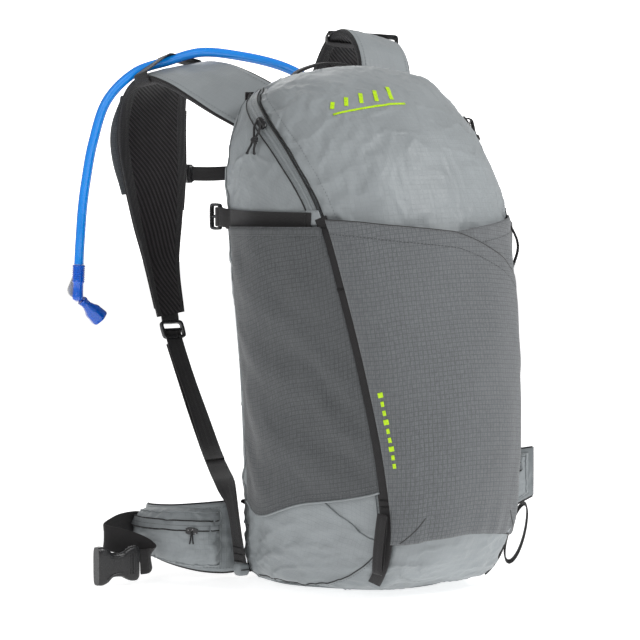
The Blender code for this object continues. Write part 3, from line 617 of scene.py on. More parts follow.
def soft_tube(name, colour, deep):
    """Clear blue hose: colour with a painted highlight where it faces the view and painted shade darkening it
    towards its edges, under a glossy skin.
    """
    g = Graph(name)
    facing = g.nodes.new("ShaderNodeLayerWeight")
    facing.inputs["Blend"].default_value = 0.35
    scuffs = g.noise(300.0, 4.0, (1.0, 1.0, 0.3))
    # Painted highlight and shade: facing the view gives the lighter colour, and the edges get the darker
    # second colour.
    tone = g.mix(g.ramp(facing.outputs["Facing"], 0.05, 0.75), colour, deep)
    tone = g.mix(g.ramp(scuffs, 0.62, 0.8, 0.0, 0.12), tone, shade(colour, 1.6))
    gloss = g.ramp(scuffs, 0.5, 0.8, 0.16, 0.34)
    return g.finish(
        tone, gloss, g.bump(g.noise(60.0, 2.0), 0.1 * MM), Coat_Weight=0.5, Coat_Roughness=0.1,
        Subsurface_Weight=0.15, Subsurface_Scale=4 * MM, Specular_IOR_Level=0.5,
    )


def knotted_cord(name, colour):
    """Braided cord of the zip pulls."""
    g = Graph(name)
    u, v = g.weave()
    twist = g.wave(g.math("ADD", u, g.math("MULTIPLY", v, 0.9)), 1.1 * MM)
    tone = g.mix(twist, shade(colour, 0.6), shade(colour, 1.6))
    return g.finish(tone, 0.6, g.bump(twist, 0.15 * MM), Specular_IOR_Level=0.35)


def thread(name, colour):
    """Sewing thread."""
    g = Graph(name)
    tone = g.mix(g.ramp(g.noise(700.0, 2.0), 0.3, 0.7), shade(colour, 0.8), shade(colour, 1.2))
    return g.finish(tone, 0.6, g.bump(g.noise(2500.0, 2.0), 0.1 * MM))


def enamel(name, colour):
    """Painted zip slider: glossy paint, worn to bare metal on its high spots."""
    g = Graph(name)
    worn = g.ramp(g.noise(420.0, 5.0), 0.60, 0.68)
    tone = g.mix(worn, colour, (0.45, 0.45, 0.45))
    return g.finish(tone, g.ramp(worn, 0.0, 1.0, 0.25, 0.4), g.bump(g.noise(800.0), 0.08 * MM), Metallic=worn)


def clear_film(name, colour):
    """Film of the water reservoir."""
    g = Graph(name)
    ripple = g.noise(45.0, 4.0)
    tone = g.mix(g.ramp(ripple, 0.3, 0.7), shade(colour, 0.85), shade(colour, 1.1))
    return g.finish(tone, 0.18, g.bump(ripple, 1.5 * MM), Transmission_Weight=0.25, Coat_Weight=0.3)


def print_ink(name, colour):
    """Printed mark: flat ink with fine cracks."""
    g = Graph(name)
    cracks = g.ramp(g.noise(500.0, 5.0), 0.42, 0.5)
    tone = g.mix(cracks, shade(colour, 0.82), colour)
    return g.finish(tone, 0.5, g.bump(cracks, 0.05 * MM))


LIGHT = (0.272, 0.295, 0.306)
DARK = (0.135, 0.143, 0.150)
BLACK = (0.0105, 0.0092, 0.0100)
SHELL = nylon("shell_nylon", LIGHT)
SHELL_SMOOTH = nylon("binding_nylon", shade(LIGHT, 0.92), contrast=0.0, crinkle=0.2)
LINING = nylon("lining_taffeta", (0.22, 0.23, 0.24), contrast=0.02, rough=0.6)
ZIP_TAPE = nylon("coated_zip_tape", shade(LIGHT, 0.88), cell=1.2 * MM, contrast=0.1, rough=0.38, crinkle=0.1)
POCKET = stretch_ripstop("stretch_ripstop", DARK)
# Painted shade: the front pocket's stretch ripstop, darkened to 0.66 to match the shaded side of the pack.
POCKET_PAINTED_SHADE = stretch_ripstop("side_ripstop_painted_shade", shade(DARK, 0.66))
WEB = woven_tape("black_webbing", BLACK)
BINDING = woven_tape("black_binding", (0.012, 0.011, 0.012), rib=0.8 * MM, rough=0.7)
MESH = spacer_mesh("black_spacer_mesh", (0.011, 0.0085, 0.0100))
PLASTIC = moulded("black_acetal", (0.012, 0.012, 0.013), rough=0.27)
LEVER = moulded("grey_plastic", (0.50, 0.50, 0.49), rough=0.35)
# For each blue piece, the first colour is its painted lit middle and the second is the painted shade at its
# edges.
HOSE = soft_tube("blue_hose", (0.0, 0.275, 0.88), (0.0, 0.15, 0.72))
VALVE_BLUE = soft_tube("blue_valve", (0.0, 0.125, 0.70), (0.0, 0.055, 0.48))
BITE = soft_tube("blue_silicone", (0.0, 0.10, 0.58), (0.0, 0.045, 0.36))
CAP_BLUE = moulded("blue_plastic", (0.0, 0.14, 0.55), rough=0.3)
FILM = clear_film("reservoir_film", (0.45, 0.62, 0.80))
BOARD = moulded("frame_board", (0.018, 0.018, 0.02), rough=0.5, grain=0.3)
CORD = knotted_cord("black_cord", (0.02, 0.02, 0.021))
THREAD_GREY = thread("grey_thread", shade(LIGHT, 0.6))
THREAD_DARK = thread("dark_thread", (0.03, 0.03, 0.03))
SLIDER = enamel("black_enamel", (0.012, 0.012, 0.013))
LIME = print_ink("lime_print", (0.52, 0.82, 0.0))


# --- camera, light and floor -----------------------------------------------------------------------


def make_stage():
    """Plain white sweep, soft key from the upper left, fill from the right and a pale sky."""
    scene = bpy.context.scene
    scene.view_settings.view_transform = "Standard"
    world = bpy.data.worlds.new("studio")
    world.use_nodes = True
    sky = world.node_tree.nodes["Background"]
    sky.inputs["Color"].default_value = (1.0, 1.0, 1.0, 1.0)
    sky.inputs["Strength"].default_value = 0.42
    scene.world = world
    grid = [(x, y, 0.0) for y in (-6.0, 6.0) for x in (-6.0, 6.0)]
    floor = new_mesh("floor", grid, [(0, 1, 3, 2)])
    paper = Graph("white_paper")
    tone = paper.mix(paper.ramp(paper.noise(3.0), 0.3, 0.7), (0.86, 0.86, 0.86), (0.88, 0.88, 0.88))
    floor.data.materials.append(paper.finish(tone, 0.9, Emission_Color=(1, 1, 1, 1), Emission_Strength=0.66))
    floor.location.z = -0.5 * MM
    make_backdrop()
    target = Vector((0.0, -0.09, 0.25))
    for name, place, size, power in (
        ("key", (1.1, -2.1, 2.1), 0.8, 46.0),
        ("fill", (-2.2, -0.9, 1.3), 1.4, 9.0),
        ("back", (0.6, 2.2, 1.8), 1.6, 20.0),
    ):
        lamp = bpy.data.lights.new(name, "AREA")
        lamp.size = size
        lamp.energy = power
        thing = bpy.data.objects.new(name, lamp)
        bpy.context.scene.collection.objects.link(thing)
        thing.location = place
        thing.rotation_euler = (target - Vector(place)).to_track_quat("-Z", "Y").to_euler()


def make_backdrop():
    """White drum round the set. It shows behind the pack and sends no light onto it."""
    turns = [2 * math.pi * k / 48 for k in range(48)]
    ring = [(5.8 * math.cos(a), 5.8 * math.sin(a), z) for z in (-0.4, 6.0) for a in turns]
    faces = [(k, (k + 1) % 48, 48 + (k + 1) % 48, 48 + k) for k in range(48)]
    drum = new_mesh("backdrop", ring, faces)
    white = Graph("backdrop_white")
    tone = white.mix(white.ramp(white.noise(0.4), 0.3, 0.7), (0.97, 0.97, 0.97), (1.0, 1.0, 1.0))
    drum.data.materials.append(white.finish(tone, 1.0, Emission_Color=(1, 1, 1, 1), Emission_Strength=1.0))
    drum.visible_diffuse = False
    drum.visible_glossy = False
    drum.visible_transmission = False
    drum.visible_shadow = False


def make_camera():
    """Eye level view from the front left, 34 degrees round and 4.5 degrees up."""
    target, distance = Vector((0.0, -0.09, 0.25)), 3.0
    turn, rise = math.radians(-34.0), math.radians(4.5)
    back = Vector((math.sin(turn) * math.cos(rise), -math.cos(turn) * math.cos(rise), math.sin(rise)))
    data = bpy.data.cameras.new("camera")
    data.lens = 168.75
    data.sensor_width = 36.0
    data.shift_x = -0.098
    data.shift_y = 0.020
    camera = bpy.data.objects.new("camera", data)
    bpy.context.scene.collection.objects.link(camera)
    camera.location = target + back * distance
    camera.rotation_euler = back.to_track_quat("Z", "Y").to_euler()
    bpy.context.scene.camera = camera


# --- hose and valve --------------------------------------------------------------------------------

PORT = np.array((-6.0, 4.0, 479.0)) * MM
PORT_AXIS = unit(np.array((0.0, 0.77, 0.64)))
SUPPLY_ROUTE = (
    (-40, -36, 68.6), (-40, -36.5, 80), (-41, -38, 100), (-47, -40, 135), (-54, -42, 180), (-56, -42, 230),
    (-56, -42, 280), (-54, -42, 325), (-47, -41, 365), (-33, -36, 402), (-19, -28, 432),
    (-9, -17, 456), (-6, -5, 471.5), (-6, 4, 479), (-6, 10.5, 484.4),
)
TUBE_ROUTE = (
    (-6, 11.3, 485.1), (-6, 22, 494), (-12, 38, 506), (-30, 58, 518), (-60, 82, 527), (-92, 107, 531),
    (-120, 128, 522), (-150, 145, 510), (-175, 159, 481), (-186, 169, 438), (-191, 175, 400),
    (-194, 178, 370), (-196, 179, 342), (-197, 180, 322), (-197.5, 180, 312),
)
DOWN = unit(np.array((-0.05, 0.0, -1.0)))
BITE_WAY = unit(np.array((0.72, -0.05, -0.69)))
COLLAR = np.array(TUBE_ROUTE[-1]) * MM + DOWN * 0.3 * MM
KNEE = COLLAR + DOWN * 32.6 * MM
TUBE_D = 10.0 * MM


def lathe(name, start, axis, profile, sides=40, flutes=0, depth=0.0):
    """Turned piece: profile rows are (distance, radius) in mm; flutes cut shallow grooves in it."""
    axis = unit(np.asarray(axis, float))
    turn = np.array(Vector((0, 0, 1)).rotation_difference(Vector(axis)).to_matrix())
    angle = turn_angles(sides)
    rows = np.asarray(profile, float) * MM
    centres = np.asarray(start)[None] + axis[None] * rows[:, :1]
    groove = 1 - depth * (0.5 + 0.5 * np.cos(flutes * angle)) if flutes else np.ones(sides)
    circle = np.stack((np.cos(angle) * groove, np.sin(angle) * groove, np.zeros(sides)), axis=1) @ turn.T
    sections = circle[None] * rows[:, 1][:, None, None]
    return sweep(name, centres, sections)


def make_hose():
    """Hose inside the bag, and the hose that leaves it with a shut-off barrel and a bite valve."""
    inside = cordlet("hose_inside_bag", curve(SUPPLY_ROUTE, 90), TUBE_D / 2, sides=20)
    finish_mesh(inside, "pack", HOSE)
    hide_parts("supply_tube")
    run = curve(TUBE_ROUTE, 150)
    outside = cordlet("hose_outside", run, TUBE_D / 2, sides=20)
    finish_mesh(outside, None, HOSE)
    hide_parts("drinking_tube")
    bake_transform(outside)
    barrel, bite = make_barrel(), make_bite_valve()
    make_lever()


def make_barrel():
    """Shut-off barrel below the hose, with a ribbed collar."""
    rows = [(0, 5.5), (0.8, 6.3)]
    for k in range(7):
        rows += [(at + k * 2.2, wide) for at, wide in ((1.2, 6.5), (2.0, 6.5), (2.3, 6.05), (3.1, 6.05))]
    rows += [(17.4, 6.4), (19, 5.6), (20, 5.4), (26, 5.4), (31, 5.5), (33, 5.9), (36, 5.2), (38, 2.0)]
    barrel = lathe("valve_body", COLLAR, DOWN, rows)
    finish_mesh(barrel, "valve_barrel_body", VALVE_BLUE, 40)
    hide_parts("valve_barrel")
    return barrel


def make_bite_valve():
    """Fluted rubber mouthpiece that leaves the barrel at an angle."""
    rows = [(0, 5.3), (1, 5.6), (2, 5.6), (3, 5.0), (8, 5.0), (9, 5.6), (12.5, 6.8), (15, 8.4), (17, 9.0)]
    rows += [(19, 9.1), (25.5, 9.8), (27.5, 9.9), (28.6, 9.2), (28.2, 7.4), (26.0, 5.0), (25.6, 0.6)]
    start = KNEE + BITE_WAY * 6.3 * MM
    bite = lathe("bite_valve_rubber", start, BITE_WAY, rows, sides=48, flutes=6, depth=0.07)
    finish_mesh(bite, "bite_valve_body", BITE, 40)
    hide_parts("bite_valve")
    return bite


def make_lever():
    """The lever keeps the frame's shape; its hub gets a raised ring and a small dimple."""
    finish_mesh(NODES["shutoff_lever"], None, LEVER, 40)
    facing = unit(np.cross(DOWN, BITE_WAY))
    hub = KNEE - DOWN * 6 * MM - facing * (7.0 + 2.6) * MM
    rows = [(0, 6.4), (0.5, 6.2), (0.7, 5.6), (0.2, 5.2), (0.1, 3.0), (0.6, 2.6), (0.7, 0.4)]
    button = lathe("lever_hub_ring", hub + facing * 0.05 * MM, -facing, rows, sides=36)
    finish_mesh(button, "shutoff_lever_body", LEVER, 40)


# --- bag: body, flap, zips and pockets -------------------------------------------------------------

FLAP_T = 6.0  # guide parameter of the flap's hinge line
FLAP_END_T = 9.72
OPENING_T = 5.55  # the bag's opening starts here, behind the front pocket
LID_FOOT_T = 5.4
ZIP_BAND = 14 * MM


def body_folds(t, s, p):
    """How far the bag's cloth stands off its pattern: sag, pull lines and crumples, in metres."""
    side = np.abs(s)
    soft = wave_noise(p, 0.16, 11) * 2.2 + crease(wave_noise(p, 0.07, 13), 2.6) * 1.5
    base = bump_at(t, 1.5, 1.6) * crease(wave_noise(p * (1.0, 1.0, 3.2), 0.09, 5), 2.5) * 2.8
    base *= 1 - 0.7 * bump_at(s, 0.0, 1.2)
    gusset = bump_at(t, 7.4, 1.7) * bump_at(side, 3.0, 1.0)
    gusset = gusset * crease(wave_noise(p * (0.6, 1.6, 0.8), 0.09, 21), 2.2) * 3.8
    strip = bump_at(side, 3.9, 0.5) * wave_noise(p * (1.0, 1.0, 2.4), 0.07, 31) * 1.2
    small = wave_noise(p, 0.035, 41, 2) * 0.35
    seams = -1.0 * bump_at(side, EDGE, 0.16) - 0.8 * bump_at(t, 0.5, 0.25)
    held = ease((t - 2.15) / 0.4) * (1 - ease((t - 5.5) / 0.35)) * (1 - ease((side - 3.6) / 0.3))
    return ((soft + base + gusset + strip + small) * (1 - 0.75 * held) - 1.2 * held + seams) * MM


def flap_folds(t, s, p):
    """The lid droops between its seams and gathers towards its upper corners and the zip's foot."""
    soft = wave_noise(p, 0.15, 51) * 2.2 + crease(wave_noise(p, 0.06, 53), 2.6) * 1.5
    side = np.abs(s)
    radiate = np.sin((s + 2.1) * 9.0 + (t - 8) * 1.6 + 0.8 * np.sin(t * 2.2))
    corner = bump_at(t, 8.7, 1.3) * bump_at(s, -1.25, 0.9) * radiate * 2.1
    corner += bump_at(t, 8.7, 1.2) * bump_at(s, 1.2, 0.9) * np.sin((2.1 - s) * 8.0 + t * 1.9) * 1.9
    foot = bump_at(t, 6.5, 0.9) * bump_at(s, -0.9, 0.7) * np.sin((s + 0.9) * 7.5 + 1.0 + (t - 6.5)) * 2.3
    small = wave_noise(p, 0.04, 61, 2) * 0.4
    hem = -1.2 * bump_at(side, EDGE, 0.14)
    return (soft + corner + foot + small + hem + 0.9 * bump_at(s, 0.0, 2.0)) * MM


def patch_grid(ts, ss, lift, folds=None):
    """Points and inward directions of a panel; lift(t, s) is its stand-off."""
    t, s = np.meshgrid(ts, ss, indexing="ij")
    base, n = skin(t, s), outward(t, s)
    away = lift(t, s)
    if folds is not None:
        away = away + folds(t, s, base)
    return base + n * np.asarray(away)[..., None], -n


def make_body():
    """The bag's walls, with the lid's opening left out of them."""
    ts = np.concatenate((np.linspace(0, OPENING_T, 140), np.linspace(OPENING_T, TOP, 111)[1:]))
    outer_s = np.linspace(-SIDES, -EDGE, 61)
    inner_s = np.linspace(-EDGE, EDGE, 110)
    ss = np.concatenate((outer_s, inner_s[1:-1], -outer_s[::-1]))
    grid, inward = patch_grid(ts, ss, lambda t, s: 0.0 * t, body_folds)
    grid[..., 1] = np.minimum(grid[..., 1], 0.0)
    grid[..., 2] = np.maximum(grid[..., 2], 0.0)
    rows, columns, _ = grid.shape
    t, s = np.meshgrid((ts[1:] + ts[:-1]) / 2, (ss[1:] + ss[:-1]) / 2, indexing="ij")
    keep = ~((t > OPENING_T) & (np.abs(s) < EDGE))
    inner = grid + inward * 2.4 * MM
    verts = np.concatenate((grid.reshape(-1, 3), inner.reshape(-1, 3)))
    faces = grid_faces(rows, columns, keep=keep) + grid_faces(rows, columns, rows * columns, True, keep)
    uv = arc_uv(grid)
    body = new_mesh("bag_body", verts, faces, np.concatenate((uv, uv)))
    close_rims(body)
    finish_mesh(body, "pack", SHELL)
    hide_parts("main_shell")
    make_base_and_back()


def close_rims(thing):
    """Bridges the outer and inner skins along every open rim, and drops unused points."""
    mesh = bmesh.new()
    mesh.from_mesh(thing.data)
    loose = [v for v in mesh.verts if not v.link_faces]
    half = len(mesh.verts) // 2
    mesh.verts.ensure_lookup_table()
    rims = [e for e in mesh.edges if len(e.link_faces) == 1 and e.verts[0].index < half]
    layer = mesh.loops.layers.uv.active
    for edge in rims:
        loop = edge.link_loops[0]
        a, b = loop.vert, loop.link_loop_next.vert
        c, d = mesh.verts[b.index + half], mesh.verts[a.index + half]
        face = mesh.faces.new((b, a, d, c))
        for corner in face.loops:
            corner[layer].uv = loop[layer].uv
    bmesh.ops.delete(mesh, geom=loose, context="VERTS")
    mesh.to_mesh(thing.data)
    mesh.free()


def make_base_and_back():
    """Flat base and the plain back wall behind the harness, sewn to the bag's outline."""
    ss = np.linspace(-SIDES, SIDES, 97)
    rim = skin(np.zeros_like(ss), ss)
    rim[:, 2] = 0.0
    middle = np.array((0.0, -60 * MM, 0.0))
    shares = np.linspace(1.0, 0.02, 14)
    rows = np.stack([middle + (rim - middle) * f for f in shares])
    rows[..., 2] = 0.0
    base = cloth("bag_base", rows[:, ::-1], UP, 2.0 * MM)
    finish_mesh(base, "pack", SHELL)
    ts = np.linspace(0, TOP, 120)
    left = skin(ts, np.full_like(ts, -SIDES))
    shares = np.linspace(0, 1, 60)
    grid = left[:, None] * (1 - shares)[None, :, None] + (left * MIRROR_X)[:, None] * shares[None, :, None]
    away = wave_noise(grid, 0.12, 71) * 0.5 * MM * np.sin(math.pi * shares)[None]
    grid[..., 1] = -0.6 * MM - np.abs(away)
    back = cloth("bag_back_wall", grid[::-1], np.array((0.0, -1.0, 0.0)), 2.0 * MM)
    finish_mesh(back, "pack", SHELL)
    top_s = np.linspace(-SIDES, SIDES, 90)
    edge = skin(np.full_like(top_s, TOP), top_s)
    low = edge.copy()
    low[:, 1] = 0.0
    low[:, 2] = np.minimum(low[:, 2], 490 * MM)
    crown = np.stack([edge * (1 - f) + low * f for f in np.linspace(0, 1, 8)])
    crown[1:-1, :, 2] += 1.0 * MM
    lid = cloth("bag_crown", crown, np.array((0.0, 0.3, -1.0)), 2.0 * MM)
    finish_mesh(lid, "pack", SHELL)


def make_flap():
    """Lid, running down behind the front pocket so that its lower edge never shows."""
    ts, ss = np.linspace(LID_FOOT_T, TOP, 135), np.linspace(-EDGE + 0.015, EDGE - 0.015, 150)
    grid, inward = patch_grid(ts, ss, lambda t, s: 0.5 * MM + 0 * t, flap_folds)
    grid = settle(grid, 3, 3.0, 0.02, 6 * MM)
    flap = cloth("lid_panel", grid, inward, 2.6 * MM)
    finish_mesh(flap, None, SHELL)
    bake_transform(flap)
    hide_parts("top_flap")
    for name, column in (("left", 1), ("right", -2)):
        piping = cordlet(f"lid_piping_{name}", grid[:, column], 0.9 * MM)
        finish_mesh(piping, None, BINDING)
        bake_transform(piping)
    for name, column in (("left", 9), ("right", -10)):
        raised = grid[:, column] - inward[:, column] * 0.1 * MM
        row = stitches(f"lid_stitch_{name}", raised, -inward[:, column])
        finish_mesh(row, None, THREAD_GREY)
        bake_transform(row)
    return grid, ts, ss


def beside_zip(t, distance, side=-1):
    """Surface parameter on a side panel, `distance` from the lid's edge along the surface."""
    t = np.asarray(t, float)
    span = np.linalg.norm(skin(t, side * EDGE) - skin(t, side * (EDGE + 1)), axis=-1)
    return side * (EDGE + distance / span)


def make_zip_bands():
    """Coated zip tape beside the lid: two seamed edges and the coil's low ridge down the middle."""
    ts = np.linspace(FLAP_T + 0.02, FLAP_END_T, 110)
    for name, side in HANDS:
        shares = np.linspace(0, 1, 23)
        t, f = np.meshgrid(ts, shares, indexing="ij")
        s = beside_zip(t, f * ZIP_BAND + 0.6 * MM, side)
        grooves = 0.5 * bump_at(f, 0.36, 0.05) + 0.5 * bump_at(f, 0.64, 0.05)
        lift = (1.3 + 0.9 * bump_at(f, 0.5, 0.16) - grooves) * MM
        lift = lift + 0.25 * MM * wave_noise(skin(t, s), 0.03, 91, 2)
        grid, n = skin(t, s), outward(t, s)
        band = cloth(f"zip_band_{name}", (grid + n * lift[..., None])[:, ::-side], -n[:, ::-side], 1.0 * MM)
        finish_mesh(band, "pack", ZIP_TAPE)
        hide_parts(f"zip_track_{name}")
        for part, share in (("inner", 0.0), ("outer", 1.0)):
            edge_s = beside_zip(ts, share * ZIP_BAND + 0.6 * MM, side)
            seam = cordlet(f"zip_seam_{part}_{name}", off_skin(ts, edge_s, 1.5 * MM), 0.75 * MM, sides=8)
            finish_mesh(seam, "pack", BINDING)
        for part, share in (("a", 0.16), ("b", 0.84)):
            edge_s = beside_zip(ts, share * ZIP_BAND + 0.6 * MM, side)
            row = stitches(f"zip_stitch_{part}_{name}", off_skin(ts, edge_s, 2.4 * MM), outward(ts, edge_s))
            finish_mesh(row, "pack", THREAD_GREY)
        make_zip_garage(name, side)


def make_zip_garage(name, side):
    """Small folded stop tab at the zip's lower end."""
    ts = np.linspace(FLAP_T - 0.14, FLAP_T + 0.06, 8)
    shares = np.linspace(-0.05, 1.05, 12)
    t, f = np.meshgrid(ts, shares, indexing="ij")
    s = beside_zip(t, f * ZIP_BAND, side)
    n = outward(t, s)
    tab = cloth(f"zip_stop_{name}", (skin(t, s) + n * 2.7 * MM)[:, ::-side], -n[:, ::-side], 1.5 * MM)
    finish_mesh(tab, "pack", SHELL_SMOOTH)


ZIP_T = 8.0
ZIP_WAY = unit(skin(7.0, -2.05) - skin(8.0, -2.05))
SLIDER_SHAPE = (  # place along the zip, half width and half height, in mm
    (-7, 2.2, 1.4), (-5.5, 3.6, 1.8), (-1, 4.6, 1.9), (3, 4.4, 1.9), (6, 3.4, 1.8), (7, 2.4, 1.2),
)


def make_sliders():
    """Zip sliders with their bails, and knotted cord pulls that hang from them."""
    for name, side in HANDS:
        flip = mirrored(side)
        s = beside_zip(ZIP_T, 6 * MM)
        at = off_skin(ZIP_T, s, CLEAR + 4.2 * MM) * flip
        out = outward(ZIP_T, s) * flip
        along = ZIP_WAY * flip
        side_way = unit(np.cross(out, along))
        body_rows = []
        for x, w, h in SLIDER_SHAPE:
            ring = [side_way * c * w * MM + out * d * h * MM for c, d in squared_round(16, 0.6)]
            body_rows.append((x, ring))
        centres = [at + along * x * MM for x, _ in body_rows]
        slider = sweep(f"slider_body_{name}", centres, np.array([ring for _, ring in body_rows]))
        bail = [
            at + along * (-4.5 + 9 * f) * MM + out * (1.2 + 3.6 * math.sin(math.pi * f)) * MM
            for f in np.linspace(0, 1, 17)
        ]
        ring = cordlet(f"slider_bail_{name}", bail, 0.9 * MM)
        whole = merge(f"slider_{name}", [slider, ring])
        finish_mesh(whole, f"zip_slider_{name}_body", SLIDER, 40)
        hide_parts(f"zip_slider_{name}")
        make_pull(name, out, flip)


def make_pull(name, out, flip):
    """Doubled cord through the bail, knotted half way, with two splayed melted ends."""
    start = off_skin(ZIP_T, beside_zip(ZIP_T, 6 * MM), CLEAR + 8.4 * MM) * flip
    low = off_skin(7.2, beside_zip(7.2, 34 * MM), 9 * MM) * flip
    way = unit(low - start)
    wide = unit(np.cross(way, out))
    length = np.linalg.norm(low - start)
    parts = []
    for k, shift in enumerate((-1.0, 1.0)):
        shape = (
            (0.0, 0.2, 0.6), (0.06, 1.4, 1.6), (0.2, 3.4, 0.8), (0.38, 2.4, 0.0), (0.52, 0.9, 0.3),
            (0.62, 1.3, 0.8), (0.74, 2.2, 0.0), (0.88, 3.0, 0.8), (1.0, 4.3, 0.2),
        )
        path = [start / MM + way * length / MM * f + wide * shift * w + out * h for f, w, h in shape]
        cord = cordlet(f"pull_cord_{k}", curve(path, 40), 1.15 * MM, sides=10)
        tip = [(0, 1.2), (0.6, 1.5), (1.6, 1.5), (2.2, 0.8)]
        end = lathe(f"pull_tip_{k}", path[-1] * MM - way * 1.2 * MM, way, tip, sides=12)
        parts += [cord, end]
    knot_at = start + way * length * 0.60
    for turn in range(3):
        angle = np.linspace(0, 2 * math.pi, 25)[:-1]
        tilt = unit(way + wide * (turn - 1) * 0.55)
        a1 = unit(np.cross(tilt, out))
        a2 = np.cross(tilt, a1)
        oval = a1 * np.cos(angle)[:, None] * 2.6 + a2 * np.sin(angle)[:, None] * 2.2
        ring = knot_at + way * (turn - 1) * 1.5 * MM + oval * MM
        parts.append(cordlet(f"pull_knot_{turn}", ring, 1.3 * MM, closed=True))
    pull = merge(f"cord_pull_{name}", parts)
    finish_mesh(pull, f"zip_pull_{name}_body", CORD)
    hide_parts(f"zip_pull_{name}")


POCKET_LOW, POCKET_HIGH, POCKET_DIP, POCKET_S = 1.95, 5.93, 0.24, 1.93


def pocket_top(g):
    """Guide parameter of the front pocket's mouth, which dips in the middle."""
    return POCKET_HIGH - POCKET_DIP * (1 - np.abs(2 * g - 1))


def pocket_lift(f, g):
    """How far the front pocket bags out, most at its mouth."""
    mouth = 12 * MM * np.clip(np.sin(math.pi * g), 0, 1) ** 0.7 * f**1.5
    return CLEAR + mouth + 1.6 * MM


def pocket_folds(f, g, p):
    """Soft vertical sags, a puckered foot and the V edge's pull lines."""
    soft = wave_noise(p, 0.13, 101) * 1.1
    foot = bump_at(f, 0.02, 0.2) * np.sin(g * 40.0 + 2 * np.sin(g * 9.0)) * 0.5
    pulls = bump_at(f, 0.25, 0.4) * np.sin((g - 0.5) * 16.0 + 5 * f) * 0.6
    pulls = pulls * bump_at(np.abs(g - 0.5), 0.45, 0.3)
    hold = np.clip(np.minimum(g, 1 - g) * 14, 0, 1)
    return (soft + foot + pulls) * hold * MM


def pocket_away(t, g, p):
    """How far the front pocket's cloth stands off the bag at guide parameter t and share g."""
    full = (t - POCKET_LOW) / (pocket_top(g) - POCKET_LOW)
    return pocket_lift(full, g) + pocket_folds(full, g, p)


def front_panel(name, top, extra, thickness=1.2 * MM):
    """Part of the front pocket up to the edge top(g); extra is how far it lies over the pocket."""
    f, g = np.meshgrid(np.linspace(0, 1, 90), np.linspace(0, 1, 110), indexing="ij")
    t = POCKET_LOW + (top(g) - POCKET_LOW) * f
    s = -POCKET_S + 2 * POCKET_S * g
    base, n = skin(t, s), outward(t, s)
    away = pocket_away(t, g, base) + extra
    hem = 0.7 * MM * (ease((f - 0.962) / 0.01) - ease((f - 0.995) / 0.005))
    grid = base + n * (away + hem)[..., None]
    return cloth(name, grid, -n, thickness), grid, n


def make_front_pocket():
    """Stretch pocket of two overlapping panels, whose edges cross in a shallow V."""
    under, grid, n = front_panel("front_pocket_cloth", pocket_top, 0.0)
    finish_mesh(under, "pack", POCKET)
    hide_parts("front_pocket")

    def over_top(g):
        return np.where(g < 0.5, pocket_top(g), pocket_top(0.5) - 0.62 * np.maximum(2 * g - 1, 0) ** 1.1)

    over, upper, up_n = front_panel("front_pocket_overlap", over_top, 0.9 * MM, thickness=0.8 * MM)
    finish_mesh(over, "pack", POCKET)
    for name, rows, normals in (("a", grid, n), ("b", upper, up_n)):
        line = stitches(f"front_pocket_stitch_{name}", rows[-5] + normals[-5] * 0.1 * MM, normals[-5])
        finish_mesh(line, "pack", THREAD_DARK)
    edge = cordlet("front_pocket_edge", upper[-1] - up_n[-1] * 0.2 * MM, 0.55 * MM, sides=8)
    finish_mesh(edge, "pack", THREAD_DARK)
    for name, flip in HANDS:
        fs = np.linspace(0, 1, 24)
        t, s = 1.98 + 0.34 * fs, flip * (1.78 - 0.62 * fs)
        away = pocket_away(t, (s + POCKET_S) / (2 * POCKET_S), skin(t, s)) + 0.9 * MM
        dart = cordlet(f"front_pocket_dart_{name}", off_skin(t, s, away), 0.5 * MM, sides=8)
        finish_mesh(dart, "pack", THREAD_DARK)
    foot_s = np.linspace(-POCKET_S, POCKET_S, 90)
    foot_line = off_skin(np.full(90, POCKET_LOW), foot_s, 2.4 * MM)
    foot = cordlet("front_pocket_foot", foot_line, 0.9 * MM, sides=8)
    finish_mesh(foot, "pack", THREAD_DARK)


def make_side_pockets():
    """Bottle pockets: cloth pulled in diagonals, a bound upper hem and piped lower edge."""
    for name, side in HANDS:
        f, g = np.meshgrid(np.linspace(0, 1, 100), np.linspace(0, 1, 80), indexing="ij")
        near = g if side < 0 else 1 - g
        low = 2.35 + 0.35 * near**2 - 0.16 * bump_at(near, 0.3, 0.35)
        t = low + (5.84 - low) * f
        s = side * (3.75 - 1.71 * near)
        base, n = skin(t, s), outward(t, s)
        hold = np.clip(np.minimum(g, 1 - g) * 10, 0, 1) * np.clip(f * 12, 0, 1)
        slant = np.sin((near * 1.3 + f * 1.9) * 13.0 + 1.4 * wave_noise(base, 0.2, 111))
        pulls = slant * 1.5 * bump_at(f, 0.3, 0.75) + 0.6 * np.sin(near * 24.0 + f * 2) * bump_at(f, 1.0, 0.5)
        away = CLEAR + 13 * MM * np.clip(np.sin(math.pi * g), 0, 1) ** 0.7 * f**1.2
        away = away + (pulls + 0.7 * wave_noise(base, 0.05, 121)) * hold * MM + 1.4 * MM
        grid = base + n * away[..., None]
        pocket = cloth(f"side_pocket_cloth_{name}", grid, -n, 1.2 * MM)
        # The side pocket cloth's darker colour is painted shade.
        finish_mesh(pocket, "pack", POCKET_PAINTED_SHADE)
        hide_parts(f"side_pocket_{name}")
        rise = unit(grid[-1] - grid[-8])
        hem = ribbon(f"side_pocket_hem_{name}", grid[-3] + n[-3] * 0.4 * MM, rise, 7 * MM, 1.0 * MM)
        finish_mesh(hem, "pack", POCKET_PAINTED_SHADE)
        pipe = cordlet(f"side_pocket_piping_{name}", grid[0] + n[0] * 0.3 * MM, 1.1 * MM)
        finish_mesh(pipe, "pack", SHELL_SMOOTH)
        row = stitches(f"side_pocket_stitch_{name}", grid[3] + n[3] * 0.2 * MM, n[3])
        finish_mesh(row, "pack", THREAD_GREY)


